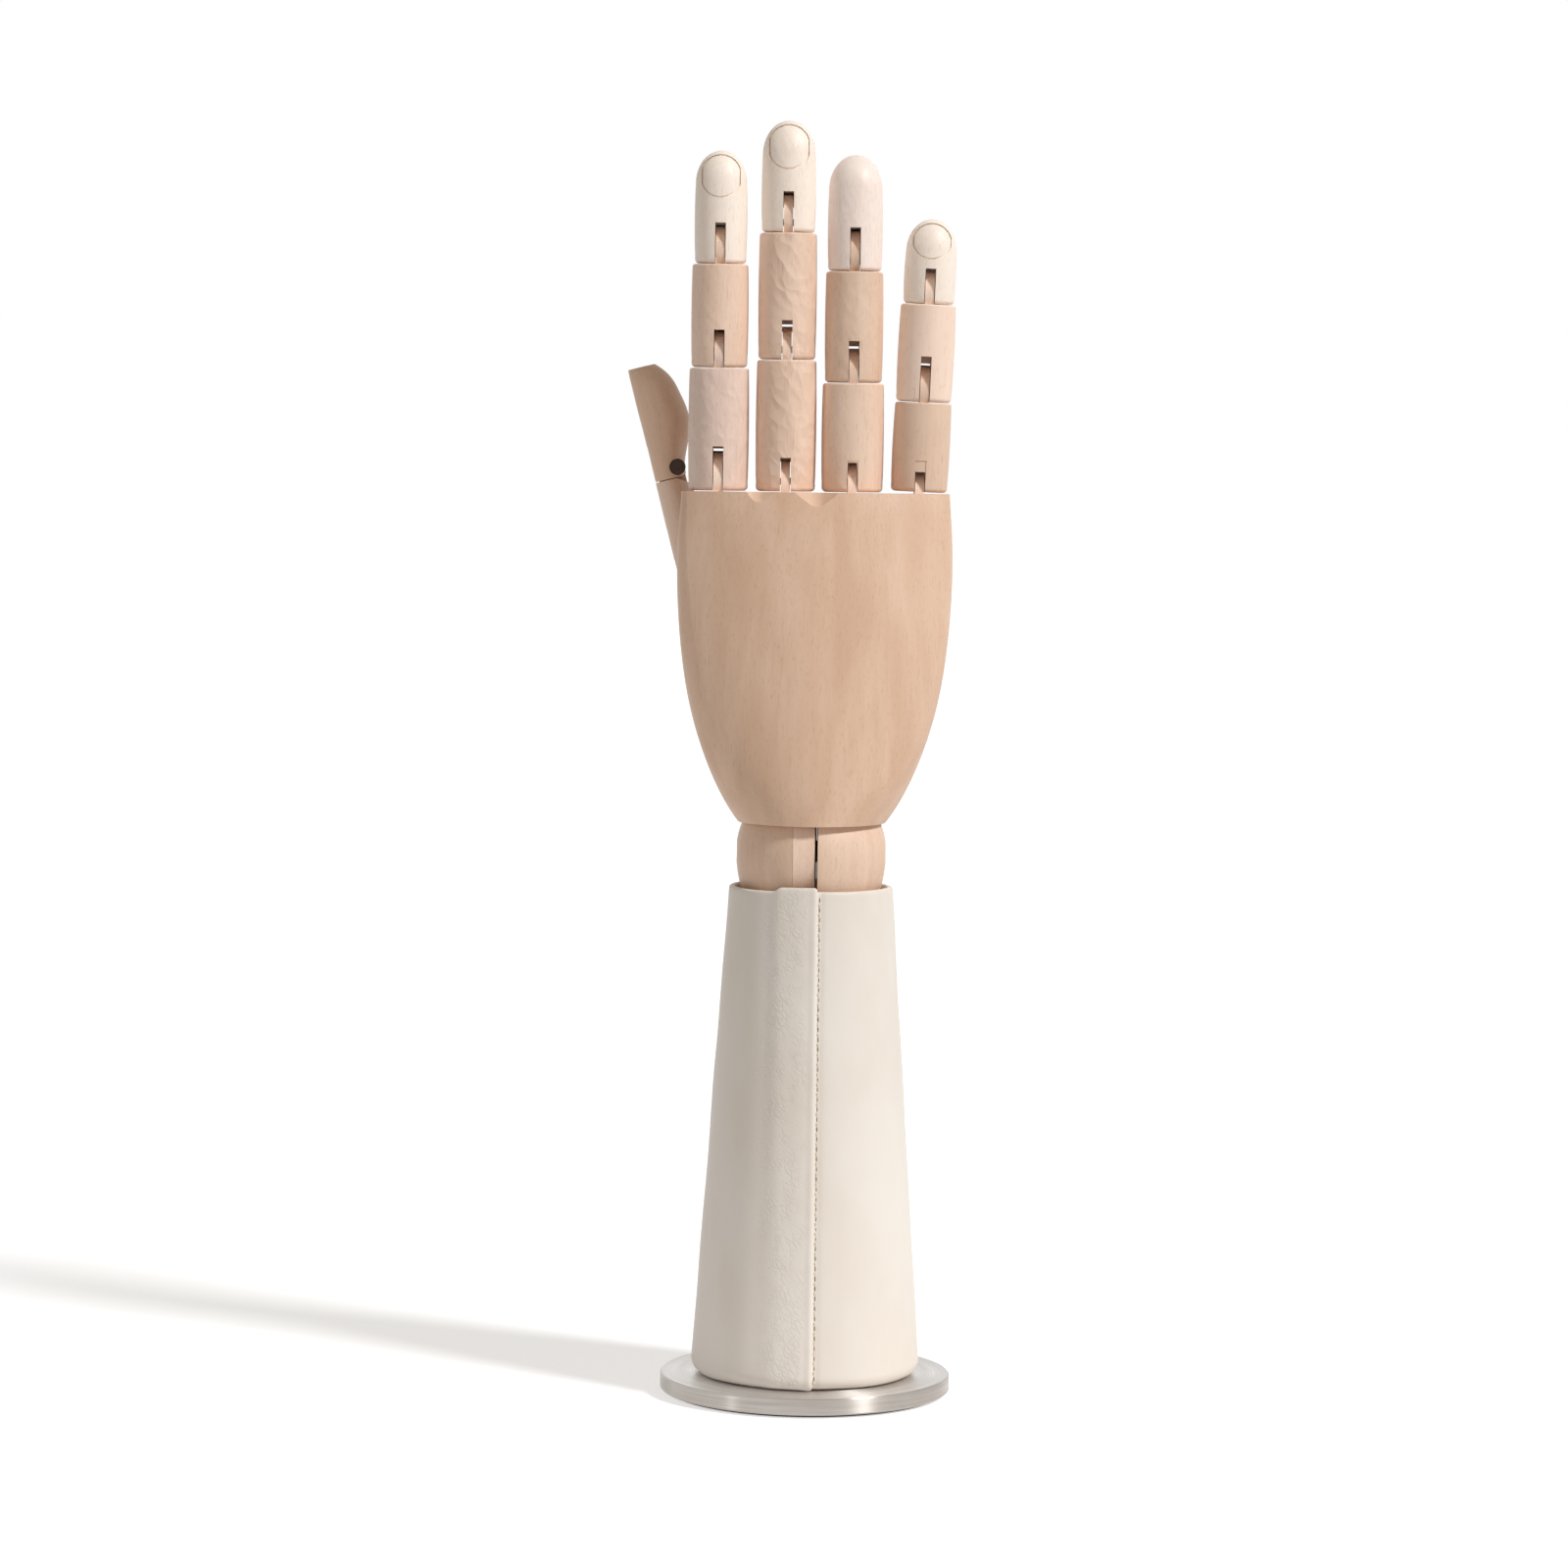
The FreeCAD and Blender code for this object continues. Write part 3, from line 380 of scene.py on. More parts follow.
@dataclass(frozen=True)
class Leather:
    """Cream leatherette with a fine pebble and soft creases beside the seam.

    Attributes:
        name: the material's name.
        cream: its colour in full light.
        worn: its colour where it is handled.
        crease_left: where the creases start across the sleeve, and where they show in full.
        crease_right: where they end, and where they still show in full.
        front: where the creases start towards the front, and where they show in full.
    """

    name: str = "cream_leatherette"
    cream: Colour = from_srgb(234, 227, 219)
    worn: Colour = from_srgb(228, 218, 207)
    crease_left: tuple[float, float] = (-21 * MM, -10 * MM)
    crease_right: tuple[float, float] = (1 * MM, -3 * MM)
    front: tuple[float, float] = (4 * MM, -12 * MM)

    # Where it is worn, its fine grain, and the patches in which the creases show.
    WEAR = Pattern(38.0, 0.5, 3.0, 0.55, low=0.3, high=0.8)
    FINE = Pattern(1900.0, 1.0, 3.0, 0.6)
    PATCHES = Pattern(220.0, 0.6, 3.0, 0.6, low=0.36, high=0.62)
    # Pebbles and creases to a metre, and the creases' width, slant, stretch, shaking and colour; that colour
    # is painted shade in the creases.
    PEBBLES = 1150.0
    CREASES = 620.0
    CREASE_WIDTH = 0.22
    CREASE_TURN = (0.0, math.radians(38), 0.0)
    CREASE_ALONG = 0.5
    CREASE_WARP = (0.0025, 500.0, 3.0)
    CREASE_SHADE_SHARE = 0.22
    CREASE_SHADE_DARKER = 0.8
    # How deep each of the three is against the others, and the strength and depth of all together.
    PEBBLE_DEPTH = 0.35
    FINE_DEPTH = 0.3
    CREASE_DEPTH = 1.3
    RELIEF = (0.4, 0.12 * MM)
    # From the smoothest grain to the dullest, and how it shines.
    ROUGHNESS = (0.42, 0.58)
    GLOSS = 0.4
    SHEEN = 0.06

    def creases(self, g: Graph, place: Socket) -> Socket:
        """Finds the creases beside the seam.

        Args:
            g: the material's graph.
            place: the coordinates on the sleeve.

        Returns:
            1 in the middle of a crease and 0 beside it.
        """
        across, depth, _ = g.add("SeparateXYZ", {"Vector": place}).outputs
        beside = g.times(g.band(across, *self.crease_left), g.band(across, *self.crease_right))
        beside = g.times(beside, g.band(depth, *self.front))
        slant = g.slanted(place, self.CREASE_TURN, self.CREASE_ALONG)
        lines = g.cells(g.warped(slant, *self.CREASE_WARP), self.CREASES, "DISTANCE_TO_EDGE")
        crease = g.times(g.band(lines, self.CREASE_WIDTH, 0.0), beside)
        return g.times(crease, g.shown(place, self.PATCHES))

    def material(self) -> bpy.types.Material:
        """Builds the leatherette and returns it."""
        g = Graph(self.name)
        place = g.place()
        fine = g.layer(place, self.FINE)
        crease = self.creases(g, place)
        colour = g.mix(g.shown(place, self.WEAR), self.cream, self.worn)
        # Painted shade: the creases are darkened in colour, on top of the relief that presses them in.
        darker = tuple(c * self.CREASE_SHADE_DARKER for c in self.worn)
        colour = g.mix(g.times(crease, self.CREASE_SHADE_SHARE), colour, darker)
        relief = g.times(g.cells(place, self.PEBBLES, "SMOOTH_F1"), self.PEBBLE_DEPTH)
        relief = g.maths("ADD", relief, g.times(fine, self.FINE_DEPTH))
        relief = g.maths("SUBTRACT", relief, g.times(crease, self.CREASE_DEPTH))
        return g.finish(
            {
                "Base Color": colour,
                "Roughness": g.between(fine, *self.ROUGHNESS),
                "Specular IOR Level": self.GLOSS,
                "Sheen Weight": self.SHEEN,
                "Normal": g.bump(relief, *self.RELIEF),
            }
        )


@dataclass(frozen=True)
class Metal:
    """Steel with fine turned lines round the upright axis.

    Attributes:
        name: the material's name.
        bright: the colour of a bare line.
        dull: the colour of a line that holds some dirt.
        smoothness: the roughness of the shiniest lines.
        rim: the radius beyond which its colour is painted darker, as a painted reflection of the darker room
            that the upright rim faces, in metres.
        brushed: how much its gloss is drawn out across the turned lines.
    """

    name: str
    bright: Colour
    dull: Colour
    smoothness: float = 0.24
    rim: float = 1.0
    brushed: float = 0.0

    # The turned lines: how many to a metre, their finer layers, where they show, and how far they stray.
    LINES = 2600.0
    LINE_DETAIL = 3.0
    LINE_BAND = (0.3, 0.75)
    DRIFT = 0.012
    # The smears of handling, and how much of them shows.
    SMEARS = Pattern(60.0, 1.0, 3.0, 0.6, low=0.4, high=0.7)
    SMEAR_SHARE = 0.35
    # The width of the step to the darker rim, and how bright the rim is in red, green and blue: painted shade
    # standing in for the darker reflection on the upright rim.
    RIM_EDGE = 0.3 * MM
    RIM_PAINTED_SHADE_SHARES = (0.69, 0.69 * 0.98, 0.69 * 0.95)
    # How much rougher the dull lines are, which way the gloss is drawn out, and how deep the lines are.
    ROUGHER = 0.1
    BRUSH_TURN = 0.25
    RELIEF = (0.05, 0.02 * MM)

    def material(self) -> bpy.types.Material:
        """Builds the steel and returns it."""
        g = Graph(self.name)
        place = g.place()
        across, depth, height = g.add("SeparateXYZ", {"Vector": place}).outputs
        flat = g.add("CombineXYZ", {0: across, 1: depth}).outputs[0]
        radius = g.add("VectorMath", {0: flat}, operation="LENGTH").outputs["Value"]
        turned = g.add("CombineXYZ", {0: radius, 1: height}).outputs[0]
        inputs = {
            "Vector": g.mix(self.DRIFT, turned, place, "ADD"),
            "Scale": self.LINES,
            "Detail": self.LINE_DETAIL,
        }
        lines = g.add("TexNoise", inputs).outputs["Fac"]
        colour = g.mix(g.band(lines, *self.LINE_BAND), self.bright, self.dull)
        colour = g.mix(g.times(g.shown(place, self.SMEARS), self.SMEAR_SHARE), colour, self.dull)
        # Painted reflection: past the rim radius the colour is made darker, for the darker room that the
        # upright rim reflects.
        edge = g.band(radius, self.rim - self.RIM_EDGE, self.rim)
        colour = g.mix(edge, colour, g.mix(1.0, colour, self.RIM_PAINTED_SHADE_SHARES, "MULTIPLY"))
        return g.finish(
            {
                "Base Color": colour,
                "Metallic": 1.0,
                "Roughness": g.between(lines, self.smoothness, self.smoothness + self.ROUGHER),
                "Anisotropic": self.brushed,
                "Anisotropic Rotation": self.BRUSH_TURN,
                "Tangent": g.add("Tangent", direction_type="RADIAL", axis="Z").outputs[0],
                "Normal": g.bump(lines, *self.RELIEF),
            }
        )


@dataclass(frozen=True)
class Plain:
    """Rubber, thread and other small dull pieces, slightly mottled.

    Attributes:
        name: the material's name.
        base: its main colour.
        spot: its second colour.
        scale: spots to a metre.
        rough: its roughness.
    """

    name: str
    base: Colour
    spot: Colour
    scale: float = 900.0
    rough: float = 0.8

    # The spots' finer layers, where they show, how much rougher or smoother they are, and their relief.
    SPOT_DETAIL = 3.0
    SPOT_ROUGH = 0.6
    SPOT_BAND = (0.35, 0.7)
    ROUGH_SPREAD = 0.06
    RELIEF = (0.2, 0.05 * MM)

    def material(self) -> bpy.types.Material:
        """Builds the finish and returns it."""
        g = Graph(self.name)
        spots = g.layer(g.place(), Pattern(self.scale, 1.0, self.SPOT_DETAIL, self.SPOT_ROUGH))
        return g.finish(
            {
                "Base Color": g.mix(g.band(spots, *self.SPOT_BAND), self.base, self.spot),
                "Roughness": g.between(spots, self.rough - self.ROUGH_SPREAD, self.rough + self.ROUGH_SPREAD),
                "Normal": g.bump(spots, *self.RELIEF),
            }
        )


class Finishes:
    """Every finish that more than one piece shares, made once."""

    def __init__(self) -> None:
        """Builds the shared finishes."""
        steel = Metal(
            "brushed_steel",
            bright=from_srgb(221, 217, 213),
            dull=from_srgb(196, 189, 183),
            smoothness=0.3,
            # Beyond this radius the plate's rim is painted darker, as a painted reflection of the darker
            # room.
            rim=49.6 * MM,
            brushed=0.95,
        )
        screw = Metal("screw_steel", from_srgb(196, 192, 186), from_srgb(150, 145, 140))
        dark = Metal("browned_steel", from_srgb(70, 58, 50), from_srgb(44, 35, 30), smoothness=0.34)
        rubber = Plain("black_rubber", from_srgb(38, 36, 35), from_srgb(52, 49, 47))
        thread = Plain("cream_thread", from_srgb(222, 210, 192), from_srgb(196, 182, 162), scale=2500.0)
        # The needle holes are dark discs on the leather: painted shade where the thread sinks in.
        hole = Plain("needle_hole_shade", from_srgb(140, 124, 106), from_srgb(112, 96, 80), scale=2500.0, rough=0.9)
        self.plate = steel.material()
        self.screw = screw.material()
        self.dark = dark.material()
        self.rubber = rubber.material()
        self.thread = thread.material()
        self.hole = hole.material()
        self.leather = Leather().material()


def dress(node: str, material: bpy.types.Material) -> None:
    """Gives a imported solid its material.

    Args:
        node: the solid's name.
        material: what it is made of.
    """
    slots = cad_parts[node].data.materials
    slots.clear()
    slots.append(material)
    LOG.info("dressed %s in %s", node, material.name)


def put(name: str, data: bpy.types.ID) -> bpy.types.Object:
    """Returns a new object of the scene, made of a mesh, a lamp or a camera."""
    thing = bpy.data.objects.new(name, data)
    bpy.context.scene.collection.objects.link(thing)
    return thing


def make_piece(name: str, points: list, faces: list, materials: list[bpy.types.Material]) -> bpy.types.Object:
    """Makes a piece of the scene.

    Args:
        name: the piece's name.
        points: the corners of its mesh.
        faces: the corners of each face, by number.
        materials: its finishes.

    Returns:
        The piece.
    """
    mesh = bpy.data.meshes.new(name)
    mesh.from_pydata(points, [], faces)
    for material in materials:
        mesh.materials.append(material)
    return put(name, mesh)


@dataclass
class Base:
    """The round steel plate, its rubber pad and the three wood screws under it."""

    finishes: Finishes

    def build(self) -> None:
        """Dresses the base."""
        dress("base_plate", self.finishes.plate)
        dress("base_pad", self.finishes.rubber)
        dress("base_screws", self.finishes.screw)


@dataclass
class Sleeve:
    """The leatherette sleeve, wrapped round the forearm, lapped and stitched at the front.

    Attributes:
        finishes: the shared finishes.
        bottom: the height of the plate that it stands on.
        top: the height of its rim.
        bottom_radius: its radius at the plate, were its side straight to there.
        top_radius: its radius at the rim.
        skin: the thickness of one layer.
        seam: how far right of the middle the lapped edge runs.
        lap: the width of the fold behind that edge.
        lap_height: how far the lap stands proud.
        foot: the radius of its rounded lower edge.
        roll: the height of its rounded rim.
        hem: the width of the strip that is turned in at the rim; not used.
        stitch: the length of one stitch with its gap.
    """

    finishes: Finishes
    bottom: float = 6.7 * MM
    top: float = 175.5 * MM
    bottom_radius: float = 39.6 * MM
    top_radius: float = 28.0 * MM
    skin: float = 1.4 * MM
    seam: float = 2.3 * MM
    lap: float = 13.6 * MM
    lap_height: float = 1.15 * MM
    foot: float = 4.5 * MM
    roll: float = 1.0 * MM
    hem: float = 4.5 * MM
    stitch: float = 3.36 * MM

    COLUMNS = 200
    ROWS = 150
    FOOT_STEPS = 8
    ROLL_STEPS = 8
    # The columns beside the seam, in millimetres right of it along the rim.
    BESIDE_LAP = (-6.0, -5.2, -4.4, -3.7, -3.1, -2.6, -2.2, -1.8, -1.5)
    ON_EDGE = (-1.2, -1.05, -0.88, -0.7, -0.52, -0.36, -0.22, -0.1, -0.03, 0.0)
    BESIDE_EDGE = (0.02, 0.25, 0.6, 1.0, 1.4, 1.9, 2.5, 3.2, 4.0, 5.0, 6.0)

    # The lap's rounded edge, the fold behind it at the rim, and how much wider that is at the foot.
    EDGE = 1.2 * MM
    FOLD = 4.6 * MM
    FOLD_WIDER = 2.6 * MM
    # The thread pulls the surface in beside the edge: how far, where, and how wide.
    PULL = 0.28 * MM
    PULL_PLACE = 1.1 * MM
    PULL_WIDTH = 1.0 * MM
    # Broad waves all round, and small ones by the seam. Both are measured on a drum in millimetres.
    DRUM = 30
    WAVES = 0.035
    WAVES_START = Vector((3.1, 0.0, 7.7))
    WAVE_HEIGHT = 0.3 * MM
    SEAM_WAVE_HEIGHT = 0.12 * MM
    SEAM_WAVE_PLACE = -6 * MM
    SEAM_WAVE_WIDTH = 9 * MM
    # The rim stands higher on the lap, and rises and falls a little round the sleeve.
    RIM_ON_LAP = 1.35 * MM
    RIM_WAVE = 0.35 * MM
    RIM_RAMP = (-2.2 * MM, 0.8 * MM)
    # The foot nearly touches the plate at the corner of the lap, and stands a little higher elsewhere.
    HANG = 0.12 * MM
    HANG_WAVE = 0.4 * MM
    CORNER_PLACE = -1.2 * MM
    CORNER_WIDTH = 2.4 * MM
    # Where the inside ends below the rim, and the hem's gaps, thickness and swelling.
    CEILING = 5.2 * MM
    INNER_ROWS = (0.0, 0.2, 0.4, 0.6, 0.8, 0.93)
    HEM_ROWS = (0.0, 0.25, 0.5, 0.75, 1.0)
    HEM_BELOW = 0.6 * MM
    HEM_ABOVE = 1.1 * MM
    HEM_DEPTH = 2.1 * MM
    HEM_SWELL = 0.35 * MM
    # The first and last stitch, and where the row runs.
    FIRST_STITCH = 3.2 * MM
    LAST_STITCH = 2.4 * MM
    STITCH_PLACE = 0.6 * MM
    # The thread of a stitch: half its length, its radius, how much wider it is than deep, and its dive.
    HALF_STITCH = 0.8 * MM
    THREAD = 0.24 * MM
    THREAD_WIDER = 1.15
    THREAD_RISE = 0.1 * MM
    THREAD_DIVE = 0.42 * MM
    THREAD_SIDES = 8
    THREAD_RINGS = 6
    # The dark disc of painted shade that stands for the needle hole between two stitches: half its width and
    # height, and its place on the leather.
    HOLE_WIDTH = 0.27 * MM
    HOLE_HEIGHT = 0.95 * MM
    HOLE_SIDES = 10
    HOLE_MIDDLE = 0.1 * MM
    HOLE_RIM = 0.02 * MM

    def radius(self, height: float) -> float:
        """Returns the radius of the bare cone at a height."""
        share = (height - self.bottom) / (self.top - self.bottom)
        return self.bottom_radius + (self.top_radius - self.bottom_radius) * share

    def on_lap(self, beside: float) -> float:
        """Returns 1 on the lap and 0 right of it, with a round edge between them."""
        if beside > 0:
            return 0.0
        if beside > -self.EDGE:
            return math.sqrt(max(0.0, 1 - (beside / self.EDGE + 1) ** 2))
        return 1.0

    def lift(self, beside: float, height: float) -> float:
        """Finds how far the outside stands off the cone.

        Args:
            beside: the distance right of the lapped edge, along the surface.
            height: the height above the floor.

        Returns:
            The distance, which is below 0 where the thread pulls the surface in.
        """
        fold = self.FOLD + self.FOLD_WIDER * (1 - smooth(height, self.bottom, self.top))
        ridge = smooth(beside, -self.lap - fold, -self.lap + fold * 0.3)
        # The lap rises slowly towards its edge, and a little more just before it.
        proud = 0.6 + 0.2 * smooth(beside, -0.8 * self.lap, -2.5 * self.EDGE)
        proud += 0.2 * smooth(beside, -2.6 * self.EDGE, -self.EDGE)
        pull = self.PULL * bell(beside, self.PULL_PLACE, self.PULL_WIDTH) if beside > 0 else 0.0
        return self.lap_height * proud * self.on_lap(beside) * ridge - pull

    def ripple(self, angle: float, height: float, beside: float) -> float:
        """Finds the small unevenness of the leatherette.

        Args:
            angle: the place round the sleeve.
            height: the height above the floor.
            beside: the distance right of the lapped edge.

        Returns:
            How far the surface stands out.
        """
        where = Vector((math.cos(angle) * self.DRUM, math.sin(angle) * self.DRUM, height / MM))
        slow = noise.noise(where * self.WAVES + self.WAVES_START) * self.WAVE_HEIGHT
        near = bell(beside, self.SEAM_WAVE_PLACE, self.SEAM_WAVE_WIDTH)
        # The small waves run aslant, because the thread pulls the leatherette down there.
        slant = Vector((where.x * 0.24 + where.z * 0.1, where.y * 0.24, where.z * 0.16 - where.x * 0.1))
        return slow + near * noise.noise(slant) * self.SEAM_WAVE_HEIGHT

    def rim(self, beside: float, angle: float) -> float:
        """Finds how much higher the rim is than the sleeve's plain top.

        Args:
            beside: the distance right of the lapped edge.
            angle: the place round the sleeve.

        Returns:
            The height, which can be a little below 0.
        """
        start, end = (-self.lap + ramp for ramp in self.RIM_RAMP)
        raised = smooth(beside, start, end) * self.on_lap(beside)
        # Two waves that never line up make the edge look cut by hand.
        wave = 0.25 * math.sin(2 * angle + 0.6) + 0.2 * math.sin(5 * angle + 2.0)
        return self.RIM_ON_LAP * raised + self.RIM_WAVE * wave

    def hang(self, beside: float, angle: float) -> float:
        """Finds how far the lower edge stands off the plate.

        Args:
            beside: the distance right of the lapped edge.
            angle: the place round the sleeve.

        Returns:
            The height of the gap.
        """
        corner = bell(beside, self.CORNER_PLACE, self.CORNER_WIDTH) if beside <= 0 else 0.0
        wave = 0.5 + 0.3 * math.sin(3 * angle + 1.2) + 0.2 * math.sin(7 * angle)
        return self.HANG + self.HANG_WAVE * wave * (1 - corner)

    def angles(self) -> list[float]:
        """Returns the columns as angles right of the seam, close together beside it."""
        near = self.BESIDE_LAP + self.ON_EDGE + self.BESIDE_EDGE
        found = [step * MM / self.top_radius for step in near]
        low, high = found[0], found[-1]
        rest = self.COLUMNS - len(found)
        gap = (2 * math.pi - (high - low)) / (rest + 1)
        return found + [high + gap * (i + 1) for i in range(rest)]

    def outside(self, turn: float, height: float) -> tuple[float, float, float]:
        """Finds a point on the outside.

        Args:
            turn: its angle right of the seam.
            height: its height above the floor.

        Returns:
            Its angle round the sleeve, its distance right of the lapped edge, and its radius.
        """
        cone = self.radius(height)
        angle = math.asin(self.seam / cone) + turn
        beside = (turn if turn <= math.pi else turn - 2 * math.pi) * cone
        return angle, beside, cone + self.lift(beside, height) + self.ripple(angle, height, beside)

    def section(self, turn: float) -> list[tuple[float, float, float]]:
        """Draws the closed outline of the sleeve at one column.

        Args:
            turn: the column's angle right of the seam.

        Returns:
            The points, each as angle, radius and height.
        """
        angle, beside, _ = self.outside(turn, self.top)
        rim = self.top + self.rim(beside, angle)
        high, low = rim - self.roll, self.bottom + self.hang(beside, angle) + self.foot
        points = []
        for i in range(self.ROWS + 1):
            share = i / self.ROWS
            height = high + (low - high) * share
            angle, _, radius = self.outside(turn, height)
            points.append((angle, radius, height))
        centre = radius - self.foot
        down = range(1, self.FOOT_STEPS + 1)
        for bow, steps in ((self.foot, down), (self.foot - self.skin, reversed(down))):
            for i in steps:
                bend = math.pi / 2 * i / self.FOOT_STEPS
                points.append((angle, centre + bow * math.cos(bend), low - bow * math.sin(bend)))
        ceiling = self.top - self.CEILING
        for share in self.INNER_ROWS:
            height = low + (ceiling - low) * share
            points.append((angle, self.radius(height) - self.skin, height))
        hem_low, hem_high = ceiling + self.HEM_BELOW, rim - self.HEM_ABOVE
        for share in self.HEM_ROWS:
            height = hem_low + (hem_high - hem_low) * share
            swell = self.HEM_SWELL * math.sin(math.pi * share)
            points.append((angle, self.radius(height) - self.HEM_DEPTH - swell, height))
        (angle, outer, _), (_, inner, _) = points[0], points[-1]
        middle, half = (outer + inner) / 2, (outer - inner) / 2
        for i in range(1, self.ROLL_STEPS):
            bend = math.pi * i / self.ROLL_STEPS
            points.append((angle, middle - half * math.cos(bend), high + self.roll * math.sin(bend)))
        return points

    def build(self) -> None:
        """Makes the sleeve and its stitches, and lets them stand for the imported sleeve."""
        sections = [self.section(turn) for turn in self.angles()]
        columns, rows = len(sections), len(sections[0])
        points = [
            (radius * math.sin(angle), -radius * math.cos(angle), height)
            for section in sections
            for angle, radius, height in section
        ]
        faces = []
        for i in range(columns):
            here, there = i * rows, (i + 1) % columns * rows
            for j in range(rows):
                k = (j + 1) % rows
                faces.append((here + j, here + k, there + k, there + j))
        sleeve = make_piece("sleeve_leather", points, faces, [self.finishes.leather])
        sleeve.data.validate()
        sleeve.data.shade_smooth()
        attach(sleeve, "forearm")
        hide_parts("sleeve")
        stitches = self.stitches()

    def stitch_points(self, height: float) -> list[Vector]:
        """Places one stitch and, above it, the dark disc of painted shade for its needle hole.

        Args:
            height: the height of the stitch's middle.

        Returns:
            The rings of the thread from below, then the middle and the edge of the hole.
        """
        angle, _, radius = self.outside(self.STITCH_PLACE / self.radius(height), height)
        out = Vector((math.sin(angle), -math.cos(angle), 0.0))
        side = Vector((math.cos(angle), math.sin(angle), 0.0))
        drop = (self.bottom_radius - self.top_radius) / (self.top - self.bottom)
        up = (Vector((0, 0, 1)) - out * drop).normalized()
        middle = out * radius + Vector((0, 0, height))
        points = []
        for ring in range(self.THREAD_RINGS + 1):
            share = ring / self.THREAD_RINGS * 2 - 1
            along = self.HALF_STITCH * share
            # At both ends the thread gets thinner and dives into its hole.
            sink = self.THREAD_RISE - self.THREAD_DIVE * share**4
            girth = self.THREAD * math.sqrt(max(0.06, 1 - share**6))
            for i in range(self.THREAD_SIDES):
                a = 2 * math.pi * i / self.THREAD_SIDES
                spoke = side * math.cos(a) * girth * self.THREAD_WIDER + out * (math.sin(a) * girth + sink)
                points.append(middle + up * along + spoke)
        hole = middle + up * (self.stitch / 2)
        points.append(hole + out * self.HOLE_MIDDLE)
        for i in range(self.HOLE_SIDES):
            a = 2 * math.pi * i / self.HOLE_SIDES
            spoke = side * math.cos(a) * self.HOLE_WIDTH + up * math.sin(a) * self.HOLE_HEIGHT
            points.append(hole + spoke + out * self.HOLE_RIM)
        return points

    def stitch_faces(self) -> list[tuple[int, tuple[int, ...]]]:
        """Joins the points of one stitch and its needle hole.

        Returns:
            For each face, 0 for thread or 1 for the hole, and its corners.
        """
        sides, rings = self.THREAD_SIDES, self.THREAD_RINGS
        faces = []
        for ring in range(rings):
            for i in range(sides):
                a, b = ring * sides + i, ring * sides + (i + 1) % sides
                faces.append((0, (a, b, b + sides, a + sides)))
        faces.append((0, tuple(reversed(range(sides)))))
        faces.append((0, tuple(rings * sides + i for i in range(sides))))
        hole = (rings + 1) * sides
        for i in range(self.HOLE_SIDES):
            faces.append((1, (hole, hole + 1 + i, hole + 1 + (i + 1) % self.HOLE_SIDES)))
        return faces

    def stitches(self) -> bpy.types.Object:
        """Makes the row of stitches right of the lapped edge, with dark discs of painted shade for the needle
        holes between them.

        Returns:
            The stitches as one piece.
        """
        pattern = self.stitch_faces()
        points, faces, kinds = [], [], []
        height = self.bottom + self.FIRST_STITCH
        while height < self.top - self.LAST_STITCH:
            start = len(points)
            points += self.stitch_points(height)
            for kind, face in pattern:
                faces.append(tuple(start + corner for corner in face))
                kinds.append(kind)
            height += self.stitch
        piece = make_piece("sleeve_stitches", points, faces, [self.finishes.thread, self.finishes.hole])
        piece.data.polygons.foreach_set("material_index", kinds)
        piece.data.shade_smooth()
        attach(piece, "forearm")
        LOG.info("made the stitches")
        return piece


@dataclass
class Forearm:
    """The turned core, its sleeve and the washer inside."""

    finishes: Finishes

    def build(self) -> None:
        """Dresses the core and makes the sleeve."""
        dress("forearm_core", Wood("core_wood", Tone.SAND, 1).material())
        dress("wrist_washer", self.finishes.screw)
        Sleeve(self.finishes).build()


@dataclass
class Wrist:
    """The forked ball, the tongue that stands in it, its bolt and its wooden cross pin."""

    finishes: Finishes

    def build(self) -> None:
        """Dresses the wrist."""
        dress("wrist_ball", Wood("ball_wood", Tone.TAN, 2, figure=0.9).material())
        dress("wrist_tongue", Wood("wrist_tongue_wood", Tone.SAND, 3).material())
        dress("wrist_pin", Wood("wrist_pin_wood", Tone.TAN, 4, lean=90).material())
        dress("wrist_bolt", self.finishes.dark)


@dataclass
class Palm:
    """The carved block of the palm."""

    def build(self) -> None:
        """Dresses the palm."""
        dress("palm", Wood("palm_wood", Tone.PALM, 5, figure=0.9, pores=0.45).material())


